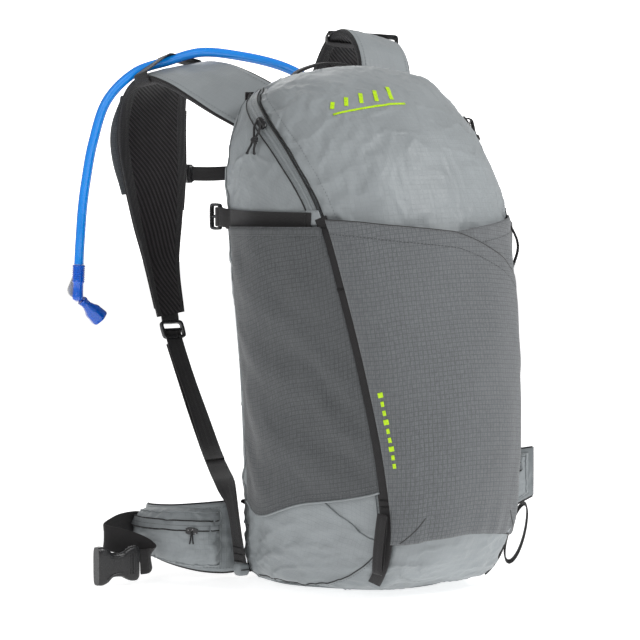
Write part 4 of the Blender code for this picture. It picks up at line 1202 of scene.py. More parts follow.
def seam_line(name, side, ts, ss, material=None, radius=0.6 * MM, stitched=True):
    """Seam on one side of the bag's body: a line of cord, with stitches beside it."""
    t, s = curve([(a, side * b, 0) for a, b in zip(ts, ss)], 80, 1.0)[:, :2].T
    p = skin(t, s)
    line = p + outward(t, s) * (body_folds(t, s, p) + 0.5 * MM)[:, None]
    seam = cordlet(name, line, radius, sides=8)
    finish_mesh(seam, "pack", material or THREAD_DARK)
    if stitched:
        shift = outward(t, s) * 0.2 * MM + unit(np.cross(tangents(line), outward(t, s))) * 2.2 * MM
        row = stitches(f"{name}_stitch", line + shift, outward(t, s))
        finish_mesh(row, "pack", THREAD_GREY)


def make_seams():
    """Curved base seam, piped dart above it, and the seams beside the front straps."""
    for name, side in HANDS:
        seam_line(
            f"base_seam_{name}", side, (0.55, 0.5, 0.62, 1.0, 1.5, 1.9), (3.8, 3.3, 2.9, 2.45, 2.2, 2.08),
        )
        seam_line(
            f"base_piping_{name}", side, (2.62, 2.3, 2.05, 1.92), (2.62, 2.4, 2.22, 2.06),
            SHELL_SMOOTH, 1.0 * MM, stitched=False,
        )
        seam_line(
            f"edge_seam_{name}", side, (1.9, 3.0, 4.2, 5.2, 5.9), (2.1, 2.12, 2.12, 2.12, 2.1),
            SHELL_SMOOTH, 0.9 * MM,
        )
        seam_line(
            f"gusset_seam_{name}", side, (0.6, 2.5, 4.5, 6.5, 8.0, 9.4), (3.92,) * 6, THREAD_GREY, 0.5 * MM,
        )


def on_panel(panel, t, s):
    """Places on a panel's settled grid at guide parameters t and s."""
    grid, ts, ss = panel
    i = np.clip(np.interp(t, ts, np.arange(len(ts))), 0, len(ts) - 1.001)
    j = np.clip(np.interp(s, ss, np.arange(len(ss))), 0, len(ss) - 1.001)
    a, b = i.astype(int), j.astype(int)
    u, v = (i - a)[:, None], (j - b)[:, None]
    near = grid[a, b] * (1 - v) + grid[a, b + 1] * v
    far = grid[a + 1, b] * (1 - v) + grid[a + 1, b + 1] * v
    return near * (1 - u) + far * u


def make_mark(lid):
    """Plain printed decoration: five rising strokes over a bar, and a column of tally marks."""
    mark_s, mark_t = -0.94, 7.85
    parts = []

    def stroke(start, end, width):
        s, t = np.array([start, end]).T
        s, t = np.linspace(*s, 14), np.linspace(*t, 14)
        n = outward(t, s)
        line = on_panel(lid, t, s) + n * 0.45 * MM
        side = unit(np.cross(n, tangents(line)))
        parts.append(ribbon(f"mark_{len(parts)}", line, side, width, 0.3 * MM))

    for k in range(5):
        at = mark_s + 0.20 * k
        rise = 0.16 + 0.05 * k
        stroke((at, mark_t), (at + 0.07, mark_t + rise), 4.2 * MM)
    stroke((mark_s - 0.04, mark_t - 0.14), (mark_s + 0.96, mark_t - 0.10), 2.8 * MM)
    mark = merge("printed_mark", parts)
    finish_mesh(mark, "flap", LIME)
    tally = []
    for k in range(9):
        t0 = 3.92 - 0.105 * k
        t, s = np.linspace(t0, t0 - 0.06, 6), np.full(6, -1.76)
        p, n = skin(t, s), outward(t, s)
        line = p + n * (pocket_away(t, (s + POCKET_S) / (2 * POCKET_S), p) + 1.35 * MM)[:, None]
        side = unit(np.cross(n, tangents(line)))
        tally.append(ribbon(f"tally_{k}", line, side, (3.4 if k % 3 else 5.4) * MM, 0.3 * MM))
    row = merge("printed_tally", tally)
    finish_mesh(row, "pack", LIME)


# --- straps on the bag -----------------------------------------------------------------------------


WEBBING = 1.8 * MM


def ladder_lock(name, centre, right, up, size, hole, depth, body, node):
    """Moulded ladder lock: rounded frame with a raised lip and a ridged cross bar."""
    right, up = unit(np.asarray(right, float)), unit(np.asarray(up, float))
    out = np.cross(right, up)
    angle = turn_angles(48)
    c, d = np.cos(angle), np.sin(angle)
    square = np.stack((np.sign(c) * np.abs(c) ** 0.3, np.sign(d) * np.abs(d) ** 0.3), axis=1)
    middle_w, middle_h = (size[0] + hole[0]) / 4, (size[1] + hole[1]) / 4
    line = centre + right * square[:, :1] * middle_w + up * square[:, 1:] * middle_h
    spoke = unit(right * square[:, :1] + up * square[:, 1:])
    wall = np.minimum((size[0] - hole[0]) / 4, (size[1] - hole[1]) / 4)
    profile = ((-1, -0.7), (-0.6, -1), (0.6, -1), (1, -0.7), (1, 0.7), (0.6, 1), (-0.6, 1), (-1, 0.7))
    sections = np.stack([spoke * a * wall * 0.96 + out * b * depth / 2 for a, b in profile], axis=1)
    parts = [sweep(name, line, sections, closed=True)]
    bar = [centre + right * f * hole[0] / 2 for f in np.linspace(-1, 1, 9)]
    parts.append(cordlet(f"{name}_bar", bar, depth * 0.36, sides=10))
    for n in range(7):
        spot = centre + right * hole[0] * (n - 3) / 8 + out * depth * 0.3
        tooth = [spot - up * 0.9 * MM, spot + up * 0.9 * MM]
        parts.append(cordlet(f"{name}_tooth", tooth, 0.5 * MM, sides=6))
    lock = merge(name, parts)
    finish_mesh(lock, body, PLASTIC, 40)
    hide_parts(node)


def make_side_straps():
    """Compression strap round each side with its ladder lock and bar tacks."""
    count = 50
    for name, side in HANDS:
        s = side * np.linspace(3.97, 2.16, count)
        t = np.array([height_t(364 * MM, value) for value in s])
        ripple = 0.5 * MM * np.sin(np.linspace(0, 9, count))
        path = off_skin(t, s, CLEAR + 0.6 * MM + np.abs(ripple))
        strap = ribbon(f"side_strap_{name}", path, UP, 20 * MM, WEBBING)
        finish_mesh(strap, "pack", WEB, 50)
        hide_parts(f"compression_strap_{name}")
        tack(f"side_tack_{name}", path[-3], outward(t[-3], s[-3]), UP, 17 * MM, "pack")
        lock = np.array((-side * -133.5, 10.0, 366.0)) * MM
        ladder_lock(
            f"side_lock_{name}", lock, (0, 1, 0), (0, 0, 1), (22 * MM, 27 * MM), (11 * MM, 20.6 * MM),
            4.5 * MM, f"compression_lock_{name}_body", f"compression_lock_{name}",
        )
        lead = [(-133.6, 4.0, 366.0), (-135.6, 0.5, 366.0), (-134.6, -6.0, 365.6)]
        lead = [np.array(p) * (-side, 1, 1) for p in lead] + [path[6] / MM, path[10] / MM]
        leader = ribbon(f"side_lead_{name}", curve(lead, 30), UP, 19 * MM, WEBBING)
        finish_mesh(leader, "pack", WEB, 50)
        wrap = []
        for a in turn_angles(22):
            wrap.append(lock + np.array((math.cos(a) * 3.0, math.sin(a) * 4.6 - 6.5, 0.0)) * MM)
        fold = ribbon(f"side_lock_fold_{name}", wrap, UP, 19 * MM, WEBBING, closed=True)
        finish_mesh(fold, f"compression_lock_{name}_body", WEB, 50)


def tack(name, place, normal, along, length, body):
    """Bar tack: a dense zigzag of thread across a strap."""
    along, normal = unit(np.asarray(along, float)), unit(np.asarray(normal, float))
    side = np.cross(normal, along)
    path = []
    steps = 26
    for k in range(steps):
        f = k / (steps - 1) - 0.5
        path.append(place + along * f * length + side * (0.7 if k % 2 else -0.7) * MM + normal * 1.25 * MM)
    line = cordlet(name, path, 0.32 * MM, sides=6)
    finish_mesh(line, body, THREAD_DARK)


def front_strap_run(side, low, high, count, bow=0.0, extra=0.0):
    """Line down a front edge of the bag between two heights in mm, bowed out at its top."""
    zs = np.linspace(high, low, count) * MM
    t = np.array([height_t(z, side * EDGE) for z in zs])
    s = np.full(count, side * EDGE)
    loop = np.sin(math.pi * np.clip((zs - 305 * MM) / (64 * MM), 0, 1)) ** 2
    return t, s, off_skin(t, s, CLEAR + bow * loop + extra)


def make_front_straps():
    """Long straps down the front edges, tacked at intervals, with a tool loop at each foot."""
    for name, side, bow in (("left", -1, 0.0), ("right", 1, 9 * MM)):
        t, s, path = front_strap_run(side, 16, 369, 110, bow, 0.3 * MM)
        across = unit(skin(t, s + 0.2) - skin(t, s - 0.2))
        strap = ribbon(f"edge_strap_{name}", path, across, 12.5 * MM, WEBBING)
        finish_mesh(strap, "pack", WEB, 50)
        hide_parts(f"front_strap_{name}")
        n = outward(t, s)
        for k, z in enumerate((360, 300, 100, 92)):
            i = int(np.argmin(np.abs(path[:, 2] - z * MM)))
            tack(f"edge_tack_{name}_{k}", path[i], n[i], across[i], 8 * MM, "pack")
        for k, shift in enumerate((-1, 1)):
            line = path + across * shift * 5.2 * MM + n * 0.95 * MM
            row = stitches(f"edge_stitch_{name}_{k}", line[4:-4], n[4:-4], 1.8 * MM, 1.1 * MM, 0.26 * MM)
            finish_mesh(row, "pack", THREAD_DARK)
        make_tool_loop(name, side)


def make_tool_loop(name, side):
    """Loop at the foot of a front strap."""
    belly = {"left": 3.2, "right": 8.0}[name] * MM
    top_t, low_t = height_t(88 * MM, side * EDGE), height_t(30 * MM, side * EDGE)
    high = off_skin(top_t, side * EDGE, CLEAR + 3 * MM)
    low = off_skin(low_t, side * EDGE, CLEAR + 3 * MM)
    out = outward((top_t + low_t) / 2, side * EDGE)
    down = unit(low - high)
    half = np.linalg.norm(low - high) / 2
    middle = (high + low) / 2 + out * (belly + 1 * MM)
    angle = turn_angles(60)[:, None]
    drop = 1 + 0.12 * np.cos(angle)
    ring = middle - down * half * np.cos(angle) + out * belly * np.sin(angle) * (2 - drop)
    loop = ribbon(f"tool_loop_{name}", ring, np.cross(out, down), 10 * MM, 1.5 * MM, closed=True)
    finish_mesh(loop, f"pole_loop_{name}_body", WEB, 50)
    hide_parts(f"pole_loop_{name}")


def make_haul_loop():
    """Carrying loop at the top of the back, tacked at both feet."""
    points = [(-50, 5, 492), (-49, 5, 500), (-40, 5, 510), (-20, 5, 517), (0, 5, 519)]
    points += [(-x, y, z) for x, y, z in reversed(points[:-1])]
    path = curve(points, 70)
    width = 8 * MM + 5.0 * MM * (1 - bump_at(np.linspace(-1, 1, 70), 0.0, 1.0))
    loop = ribbon("carry_loop", path, (0, 1.0, 0), np.minimum(width, 9.5 * MM), 2.4 * MM, crown=0.3)
    finish_mesh(loop, "haul_loop_body", WEB, 50)
    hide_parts("haul_loop")
    for k, side in enumerate((-1, 1)):
        foot = np.array((side * 50.0, 5.0, 493.0)) * MM
        foot = foot + np.array((side * 0.2, 0, 2.0)) * MM
        tack(f"carry_tack_{k}", foot, (side, 0, 0), (0, 1, 0), 7 * MM, "haul_loop_body")


# --- back ------------------------------------------------------------------------------------------


def outline_at(points, count):
    """Closed smooth outline through points given as (x, z) in mm."""
    ring = np.asarray(points + points[:2], float)
    at = np.linspace(0, len(points), count, endpoint=False)
    wrapped = np.concatenate((np.asarray(points[-1:], float), ring))
    return weights(at + 1, len(wrapped)) @ wrapped * MM


def pad_on_back(name, outline, depth, crown, node, channels):
    """Foam pad on the back wall: domed towards the wearer, pressed in along its sewn channels."""
    rings = 26
    edge = outline_at(outline, 160)
    centre = (edge.max(0) + edge.min(0)) / 2
    rows = []
    for i in range(rings + 1):
        f = 1 - (i / rings) ** 1.15
        ring = centre + (edge - centre) * max(f, 0.01)
        rise = depth * (1 - f**7) + crown * (1 - f * f) * (i > 0)
        y = 0.4 * MM + rise
        dent = np.zeros(len(edge))
        for x, z, wx, wz in channels:
            over = np.clip(1 - ((ring[:, 0] / MM - x) / wx) ** 2, 0, 1)
            dent += over * np.clip(1 - ((ring[:, 1] / MM - z) / wz) ** 2, 0, 1)
        y = y - np.minimum(dent, 1.0) * (depth + crown) * 0.5 * ease((1 - f) * 5)
        rows.append(np.stack((ring[:, 0], y + np.zeros(len(edge)), ring[:, 1]), axis=1))
    rows = np.stack(rows)
    verts = rows.reshape(-1, 3)
    around = rows.shape[1]
    faces = []
    for i in range(rings):
        for k in range(around):
            m = (k + 1) % around
            faces.append((i * around + k, (i + 1) * around + k, (i + 1) * around + m, i * around + m))
    faces.append(tuple(range(rings * around, (rings + 1) * around))[::-1])
    faces.append(tuple(range(around)))
    uv = verts[:, (0, 2)]
    pad = new_mesh(name, verts, faces, uv)
    recalculate(pad)
    finish_mesh(pad, "pack", MESH, 60)
    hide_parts(node)
    rim = rows[1] + np.array((0, 0.4 * MM, 0))
    piping = cordlet(f"{name}_binding", rim, 1.7 * MM, closed=True)
    finish_mesh(piping, "pack", BINDING)


def recalculate(thing):
    """Turns a closed piece's faces outward."""
    mesh = bmesh.new()
    mesh.from_mesh(thing.data)
    bmesh.ops.recalc_face_normals(mesh, faces=mesh.faces)
    mesh.to_mesh(thing.data)
    mesh.free()


def make_back():
    """Air mesh pads of the back, and what is sewn on beside them."""
    half = [(-78, 84), (-91, 96), (-94, 160), (-98, 300), (-100, 380), (-91, 416), (-68, 436)]
    outline = half + [(-x, z) for x, z in reversed(half)]
    channels = [(0, 260, 9, 190)]
    for side in (-1, 1):
        channels += [(side * 48, z, 38, 4.5) for z in (140, 195, 250, 305, 360)]
    pad_on_back("back_pad", outline, 12 * MM, 2.4 * MM, "back_panel", channels)
    lumbar = [(-92, 6), (-103, 14), (-103, 70), (-94, 80)]
    lumbar += [(-x, z) for x, z in reversed(lumbar)]
    pad_on_back("lumbar_cushion", lumbar, 16 * MM, 3.2 * MM, "lumbar_pad", [(0, 43, 8, 60)])
    make_yoke()
    make_port()
    make_anchors()


def make_yoke():
    """Padded band across the top of the back, where the shoulder straps are sewn on."""
    low, high = box_of("harness_yoke")
    ts, ss = np.linspace(0, 1, 20), np.linspace(0, 1, 60)
    f, g = np.meshgrid(ts, ss, indexing="ij")
    x, z = low[0] + (high[0] - low[0]) * g, low[2] + (high[2] - low[2]) * f
    crown = 0.75 + 0.25 * np.sin(math.pi * f)
    y = low[1] + (high[1] - low[1]) * crown * np.clip(np.sin(math.pi * g) * 12, 0.3, 1)
    grid = np.stack((x, y, z), axis=2)
    cover = cloth("yoke_cover", grid[:, ::-1], np.array((0.0, -1.0, 0.0)), 3.0 * MM)
    finish_mesh(cover, "pack", MESH)
    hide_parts("harness_yoke")
    for k, row in enumerate((2, -3)):
        raised = grid[row] + np.array((0, 0.3 * MM, 0))
        line = stitches(f"yoke_stitch_{k}", raised, np.tile((0, 1.0, 0), (60, 1)))
        finish_mesh(line, "pack", THREAD_GREY)


def make_port():
    """Ring that the hose leaves the bag through, under a small hood of webbing."""
    port = lathe(
        "hose_port_ring", PORT - PORT_AXIS * 9 * MM, PORT_AXIS,
        [(0, 5.9), (0, 7.4), (9, 7.4), (11, 7.7), (14, 7.7), (17, 7.0), (18, 6.4), (18, 5.7)],
    )
    finish_mesh(port, "pack", PLASTIC, 40)
    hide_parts("hose_port")
    hood = [(-22, 2, 470), (-20, 9, 486), (-6, 14, 494), (8, 9, 486), (10, 2, 470)]
    cowl = ribbon("hose_port_hood", curve(hood, 40), PORT_AXIS, 12 * MM, 1.2 * MM)
    finish_mesh(cowl, "pack", BINDING)


def make_anchors():
    """Tabs at the foot of the back that the shoulder webbing is sewn to."""
    for name in ("left", "right"):
        low, high = box_of(f"lower_anchor_{name}")
        centre, size = (low + high) / 2, high - low
        rows = []
        for f in np.linspace(-1, 1, 9):
            w = 1 - 0.25 * abs(f) ** 3
            rows.append([(c * size[0] / 2 * w, d * size[1] / 2 * w, 0.0) for c, d in squared_round(16, 0.5)])
        centres = [centre + np.array((0, 0, f * size[2] / 2)) for f in np.linspace(-1, 1, 9)]
        tab = sweep(f"anchor_tab_{name}", centres, np.array(rows))
        finish_mesh(tab, "pack", SHELL_SMOOTH)
        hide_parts(f"lower_anchor_{name}")
        front = centre + np.array((0, -size[1] / 2, 0))
        tack(f"anchor_tack_{name}", front, (0, -1, 0), (1, 0, 0), 10 * MM, "pack")


def make_inside():
    """Reservoir in its sleeve; the connector and the frame sheet keep the frame's shapes."""
    make_water_bag()
    make_cap()
    finish_mesh(NODES["quick_link"], None, CAP_BLUE, 40)
    finish_mesh(NODES["quick_link_button"], None, LEVER, 40)
    finish_mesh(NODES["frame_sheet"], None, BOARD, 40)
    make_sleeve()


def make_water_bag():
    """Film bag of the reservoir with the neck that its cap screws onto."""
    half = [(-62, 22), (-76, 40), (-78, 180), (-74, 300), (-50, 322)]
    outline = half + [(-x, z) for x, z in reversed(half)]
    edge = outline_at(outline, 96)
    centre = np.array((0.0, 170 * MM))
    rows = []
    layers = ((-10, 0.3), (-10, 0.86), (-12.5, 0.96), (-19, 1.0), (-25, 0.96), (-28, 0.86), (-28, 0.3))
    for y, scale in layers:
        ring = centre + (edge - centre) * scale
        ripple = 1.2 * np.sin(np.arange(96) * 0.6) * (0.5 < scale < 0.97)
        rows.append(np.stack((ring[:, 0], np.full(96, y * MM) + ripple * 0.4 * MM, ring[:, 1]), axis=1))
    rows = np.stack(rows)
    bag = sweep("water_bag", rows.mean(axis=1), rows - rows.mean(axis=1)[:, None])
    recalculate(bag)
    neck_profile = [(0, 34), (2, 34), (9.3, 33.5), (9.3, 30)]
    neck = lathe("water_bag_neck", np.array((0, -26.0, 250.0)) * MM, (0, -1, 0), neck_profile, sides=48)
    whole = merge("water_reservoir", [bag, neck])
    finish_mesh(whole, "pack", FILM, 50)
    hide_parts("reservoir")


def make_cap():
    """Screw cap of the reservoir, with finger ribs round it."""
    cap = lathe(
        "reservoir_screw_cap", np.array((0, -36.2, 250.0)) * MM, (0, -1, 0),
        [(0, 33), (0, 37), (6.5, 37), (8.4, 35), (9, 32), (8.6, 24), (7.2, 22), (7.2, 0.5)],
        sides=96, flutes=24, depth=0.04,
    )
    finish_mesh(cap, "reservoir_cap_body", CAP_BLUE, 40)
    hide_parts("reservoir_cap")


def make_sleeve():
    """Open-topped taffeta sleeve that holds the reservoir against the back."""
    corners = [(-89, -8), (-89, -49), (89, -49), (89, -8)]
    ring = []
    for (x0, y0), (x1, y1) in zip(corners, corners[1:] + corners[:1]):
        for f in np.linspace(0, 1, 30, endpoint=False):
            ring.append((x0 + (x1 - x0) * f, y0 + (y1 - y0) * f))
    ring = np.array(ring) * MM
    heights = np.linspace(6.4, 329, 60) * MM
    rows = []
    for z in heights:
        place = np.concatenate((ring, np.full((len(ring), 1), z)), axis=1)
        place[:, 1] += 0.5 * MM * wave_noise(place, 0.08, 131)
        rows.append(place)
    rows = np.stack(rows)
    rows = np.concatenate((rows, rows[:, :1]), axis=1)
    centre = rows.mean(axis=1, keepdims=True)
    inward = unit((centre - rows) * np.array((1.0, 1.0, 0.0)))
    sleeve = cloth("reservoir_sleeve_cloth", rows, inward, 1.0 * MM)
    recalculate(sleeve)
    finish_mesh(sleeve, "pack", LINING, 50)
    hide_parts("reservoir_sleeve")


# --- harness ---------------------------------------------------------------------------------------

STRAP_LEFT = (
    (-64, 15, 466), (-76, 22, 474), (-90, 42, 486), (-103, 72, 500), (-114, 102, 509), (-120, 130, 508),
    (-119, 156, 488), (-113, 175, 450), (-104, 185, 404), (-99, 187, 352), (-96, 184, 308), (-89, 179, 256),
)
SIDES_LEFT = (
    (0.7, 0, 0.7), (0.62, 0.1, 0.78), (0.6, 0.25, 0.75),
    (0.72, 0.3, 0.55), (0.85, 0.32, 0.3), (0.93, 0.25, 0.1),
    (1, 0.1, 0), (1, 0, 0), (1, 0, 0), (1, 0, 0), (1, 0, 0), (1, 0, 0),
)
STRAP_RIGHT = (
    (68, 15, 468), (74, 18, 492), (79, 26, 518), (82, 42, 538), (86, 66, 546), (90, 94, 538),
    (95, 124, 508), (100, 152, 462), (102, 176, 408), (99, 186, 352), (96, 184, 308), (89, 179, 256),
)
SIDES_RIGHT = (
    (1, 0, 0), (1, 0, -0.05), (1, 0, -0.15), (1, 0, -0.2), (1, 0, -0.2), (1, 0, -0.15),
    (1, 0, -0.1), (1, 0, 0), (1, 0, 0), (1, 0, 0), (1, 0, 0), (1, 0, 0),
)
STRAP_WIDTHS = (58, 60, 62, 64, 68, 72, 76, 78, 73, 57, 40, 33)
STRAP_THICK = (6, 8, 9, 9, 9, 9, 9, 9, 9, 8, 7, 5)
STRAP_COUNT = 130
LOCK = np.array((-88.0, 176.5, 240.0)) * MM
WEB_ROUTE = (
    (-88, 173, 225), (-87, 140, 170), (-95, 92, 126), (-110, 46, 106), (-120, 18, 97), (-124, 0, 84),
    (-124, -7, 64), (-120, -6, 42), (-116, -5.5, 17.5),
)
WEB_SIDES = (
    (1, 0, 0), (1, 0.1, 0), (0.9, -0.2, 0), (0.7, -0.5, 0.1), (0.4, -0.8, 0.1), (0.1, -1, 0),
    (0, -1, 0), (0, -1, 0), (0.1, -1, 0),
)


def spread(values, count):
    """Values in mm carried smoothly over `count` places, in metres."""
    return curve([(v, 0, 0) for v in values], count)[:, 0]


def strap_frames(points, sides):
    """Places, run, width directions and outward normals along a shoulder strap."""
    places = curve(points, STRAP_COUNT)
    along = tangents(places)
    side = curve(sides, STRAP_COUNT, 1.0)
    side = unit(side - along * np.sum(side * along, axis=1, keepdims=True))
    return places, along, side, unit(np.cross(side, along))


def pad_section(share):
    """Half-section of a padded strap: (width share, height share, look) round the whole outline."""
    outline = []
    for x in np.linspace(-0.97, 0.97, 23):
        outline.append((x, 0.62 + 0.55 * (1 - x * x) ** 0.5, 0))
    for x, y in ((1.0, 0.3), (1.01, 0.0), (1.0, -0.45)):
        outline.append((x, y, 1))
    for x in np.linspace(0.97, share, 5):
        outline.append((x, -0.82 - 0.1 * (1 - abs(x)), 1))
    for x in np.linspace(share - 0.03, -share + 0.03, 19):
        outline.append((x, -0.72 - 0.42 * (1 - (x / share) ** 2) ** 0.5, 2))
    for x in np.linspace(-share, -0.97, 5):
        outline.append((x, -0.82 - 0.1 * (1 - abs(x)), 1))
    for x, y in ((-1.0, -0.45), (-1.01, 0.0), (-1.0, 0.3)):
        outline.append((x, y, 1))
    return outline


def padded_run(name, places, side, out, width, thick, looks, folds, share=0.74):
    """Foam pad along a run: cloth outside, tape-bound edges and mesh towards the wearer."""
    outline = pad_section(share)
    shape = np.array([(x, y) for x, y, _ in outline])
    w, h = width[:, None, None] / 2, thick[:, None, None] / 2
    sections = side[:, None] * shape[None, :, :1] * w + out[:, None] * shape[None, :, 1:] * h
    rings = places[:, None] + sections
    sections = sections + out[:, None] * folds(rings, shape)[..., None]
    pad = sweep(name, places, sections)
    for material in looks:
        pad.data.materials.append(material)
    around = len(outline)
    numbers = np.zeros(len(pad.data.polygons), np.int32)
    for i in range(len(pad.data.polygons)):
        numbers[i] = outline[i % around][2] if i < (len(places) - 1) * around else 1
    pad.data.polygons.foreach_set("material_index", numbers)
    pad.data.shade_smooth()
    pad.data.set_sharp_from_angle(angle=math.radians(70))
    return pad


def strap_folds(seed):
    """Folds of a shoulder strap's outer cloth, and the dents of its inner mesh."""
    def folds(rings, shape):
        outer = (shape[None, :, 1] > 0.5) * bump_at(shape[None, :, 0], 0.0, 1.05)
        soft = wave_noise(rings, 0.06, seed) * 1.1 + crease(wave_noise(rings, 0.045, seed + 1), 2.0) * 0.8
        inner = (shape[None, :, 1] < -0.5) * wave_noise(rings, 0.05, seed + 2) * 0.35
        return (outer * soft + inner) * MM

    return folds


def make_shoulder_strap(name, side_sign, points, sides):
    """Padded shoulder strap with bound edges, stitch rows and the chest strap's rail."""
    places, along, side, out = strap_frames(points, sides)
    width, thick = spread(STRAP_WIDTHS, STRAP_COUNT), spread(STRAP_THICK, STRAP_COUNT)
    pad = padded_run(
        f"shoulder_pad_{name}", places, side, out, width, thick, (SHELL, BINDING, MESH),
        strap_folds(141 + side_sign),
    )
    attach(pad, f"strap_{name}")
    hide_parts(f"shoulder_strap_{name}")
    for k, edge in enumerate((-1, 1)):
        line = places + side * (edge * width / 2)[:, None] * 0.995 + out * (thick / 2)[:, None] * 0.35
        piping = cordlet(f"strap_piping_{name}_{k}", line[3:-2], 1.1 * MM)
        finish_mesh(piping, f"strap_{name}", BINDING)
        inset = places + side * (edge * (width / 2 - 5 * MM))[:, None] + out * (thick / 2)[:, None] * 1.02
        row = stitches(f"strap_stitch_{name}_{k}", inset[3:-2], out[3:-2])
        finish_mesh(row, f"strap_{name}", THREAD_GREY)
        inner = places + side * (edge * width / 2 * 0.78)[:, None] - out * (thick / 2)[:, None] * 0.9
        row = stitches(f"strap_inner_stitch_{name}_{k}", inner[4:-3], -out[4:-3])
        finish_mesh(row, f"strap_{name}", THREAD_DARK)
    rail = slice(int(STRAP_COUNT * 0.60), int(STRAP_COUNT * 0.80))
    line = places + side * (-side_sign * (width / 2 + 0.6 * MM))[:, None]
    cord = cordlet(f"sternum_rail_{name}", line[rail], 1.5 * MM)
    finish_mesh(cord, f"strap_{name}", BINDING)
    return places, along, side, out, width, thick


def hull_2d(points):
    """Convex outline round flat points, in order."""
    points = sorted(map(tuple, points))

    def half(run):
        chain = []
        for p in run:
            while len(chain) > 1:
                (ax, ay), (bx, by) = chain[-2], chain[-1]
                if (bx - ax) * (p[1] - ay) - (by - ay) * (p[0] - ax) > 0:
                    break
                chain.pop()
            chain.append(p)
        return chain[:-1]

    return np.array(half(points) + half(points[::-1]))


def even_ring(points, count):
    """Closed outline resampled to even steps."""
    ring = np.concatenate((points, points[:1]))
    run = run_along(ring)
    at = np.linspace(0, run[-1], count, endpoint=False)
    return np.stack([np.interp(at, run, ring[:, k]) for k in range(ring.shape[1])], axis=1)


def loop_round(name, at, along, side, out, width, thick, round_tube, body, band=14 * MM):
    """Elastic loop pulled tight round a strap, and over the hose where it has one."""
    spots = []
    angle = turn_angles(20)
    circle = np.stack((np.cos(angle), np.sin(angle)), axis=1)
    for x in (-1, 1):
        for y in (-1, 1):
            spots.append(np.array((x * (width / 2 - 1 * MM), y * thick * 0.42)) + circle * 2.4 * MM)
    if round_tube:
        hose = curve(TUBE_ROUTE, 600)
        near = hose[int(np.argmin(np.abs((hose - at) @ along) + 0.2 * np.linalg.norm(hose - at, axis=1)))]
        flat = np.array(((near - at) @ side, (near - at) @ out))
        spots.append(flat + circle * (TUBE_D / 2 + 1.0 * MM))
    outline = even_ring(hull_2d(np.concatenate(spots)), 72)
    ring = at + side * outline[:, :1] + out * outline[:, 1:]
    loop = ribbon(name, ring, along, band, 1.3 * MM, closed=True)
    return finish_mesh(loop, body, WEB, 50)


def make_strap_pocket(frames):
    """Stretch phone pocket on the outer face of the left strap, with a hemmed mouth."""
    places, along, side, out = frames[:4]
    first, last = int(STRAP_COUNT * 14 / 25), int(STRAP_COUNT * 19 / 25)
    run = slice(first, last + 1)
    count = last + 1 - first
    middle = places[run] - side[run] * 6 * MM + out[run] * 9.5 * MM
    tall, deep = spread((56, 74, 74, 60), count), spread((4, 7, 7, 4), count)
    shape = squared_round(40, 0.55, 0.75)
    sections = side[run][:, None] * shape[None, :, :1] * tall[:, None, None] / 2
    rings = middle[:, None] + sections
    swell = 1 + 0.25 * wave_noise(rings, 0.05, 161)[..., None]
    sections = sections + out[run][:, None] * shape[None, :, 1:] * deep[:, None, None] / 2 * swell
    pocket = sweep("phone_pocket", middle, sections)
    # Same cloth as the side pockets, with their painted shade.
    finish_mesh(pocket, "strap_left", POCKET_PAINTED_SHADE, 60)
    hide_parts("strap_pocket_left")
    hem = loop_round(
        "phone_pocket_hem", middle[1], along[first], side[first], out[first], 0.053, 0.0035, False,
        "strap_left", 6 * MM,
    )
    hem.data.materials[0] = BINDING


def make_harness():
    """Shoulder straps with what is on them, their webbing and the chest strap."""
    straps = (("left", -1, STRAP_LEFT, SIDES_LEFT), ("right", 1, STRAP_RIGHT, SIDES_RIGHT))
    for name, sign, points, sides in straps:
        frames = make_shoulder_strap(name, sign, points, sides)
        places, along, side, out, width, thick = frames
        flip = mirrored(sign)
        if name == "left":
            k = round(11 / 25 * (STRAP_COUNT - 1))
            loop = loop_round(
                "hose_keeper", places[k], along[k], side[k], out[k], width[k], thick[k], True,
                "strap_left", 22 * MM,
            )
            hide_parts("tube_keeper")
            make_strap_pocket(frames)
        else:
            k = round(10.2 / 25 * (STRAP_COUNT - 1))
            slant = unit(along[k] + side[k] * 0.25)
            loop_round(
                "strap_band_right", places[k], slant, unit(np.cross(slant, out[k])) * -1, out[k],
                width[k] * 1.03, thick[k], False, "strap_right",
            )
        make_lower_strap(name, flip)
    make_sternum()


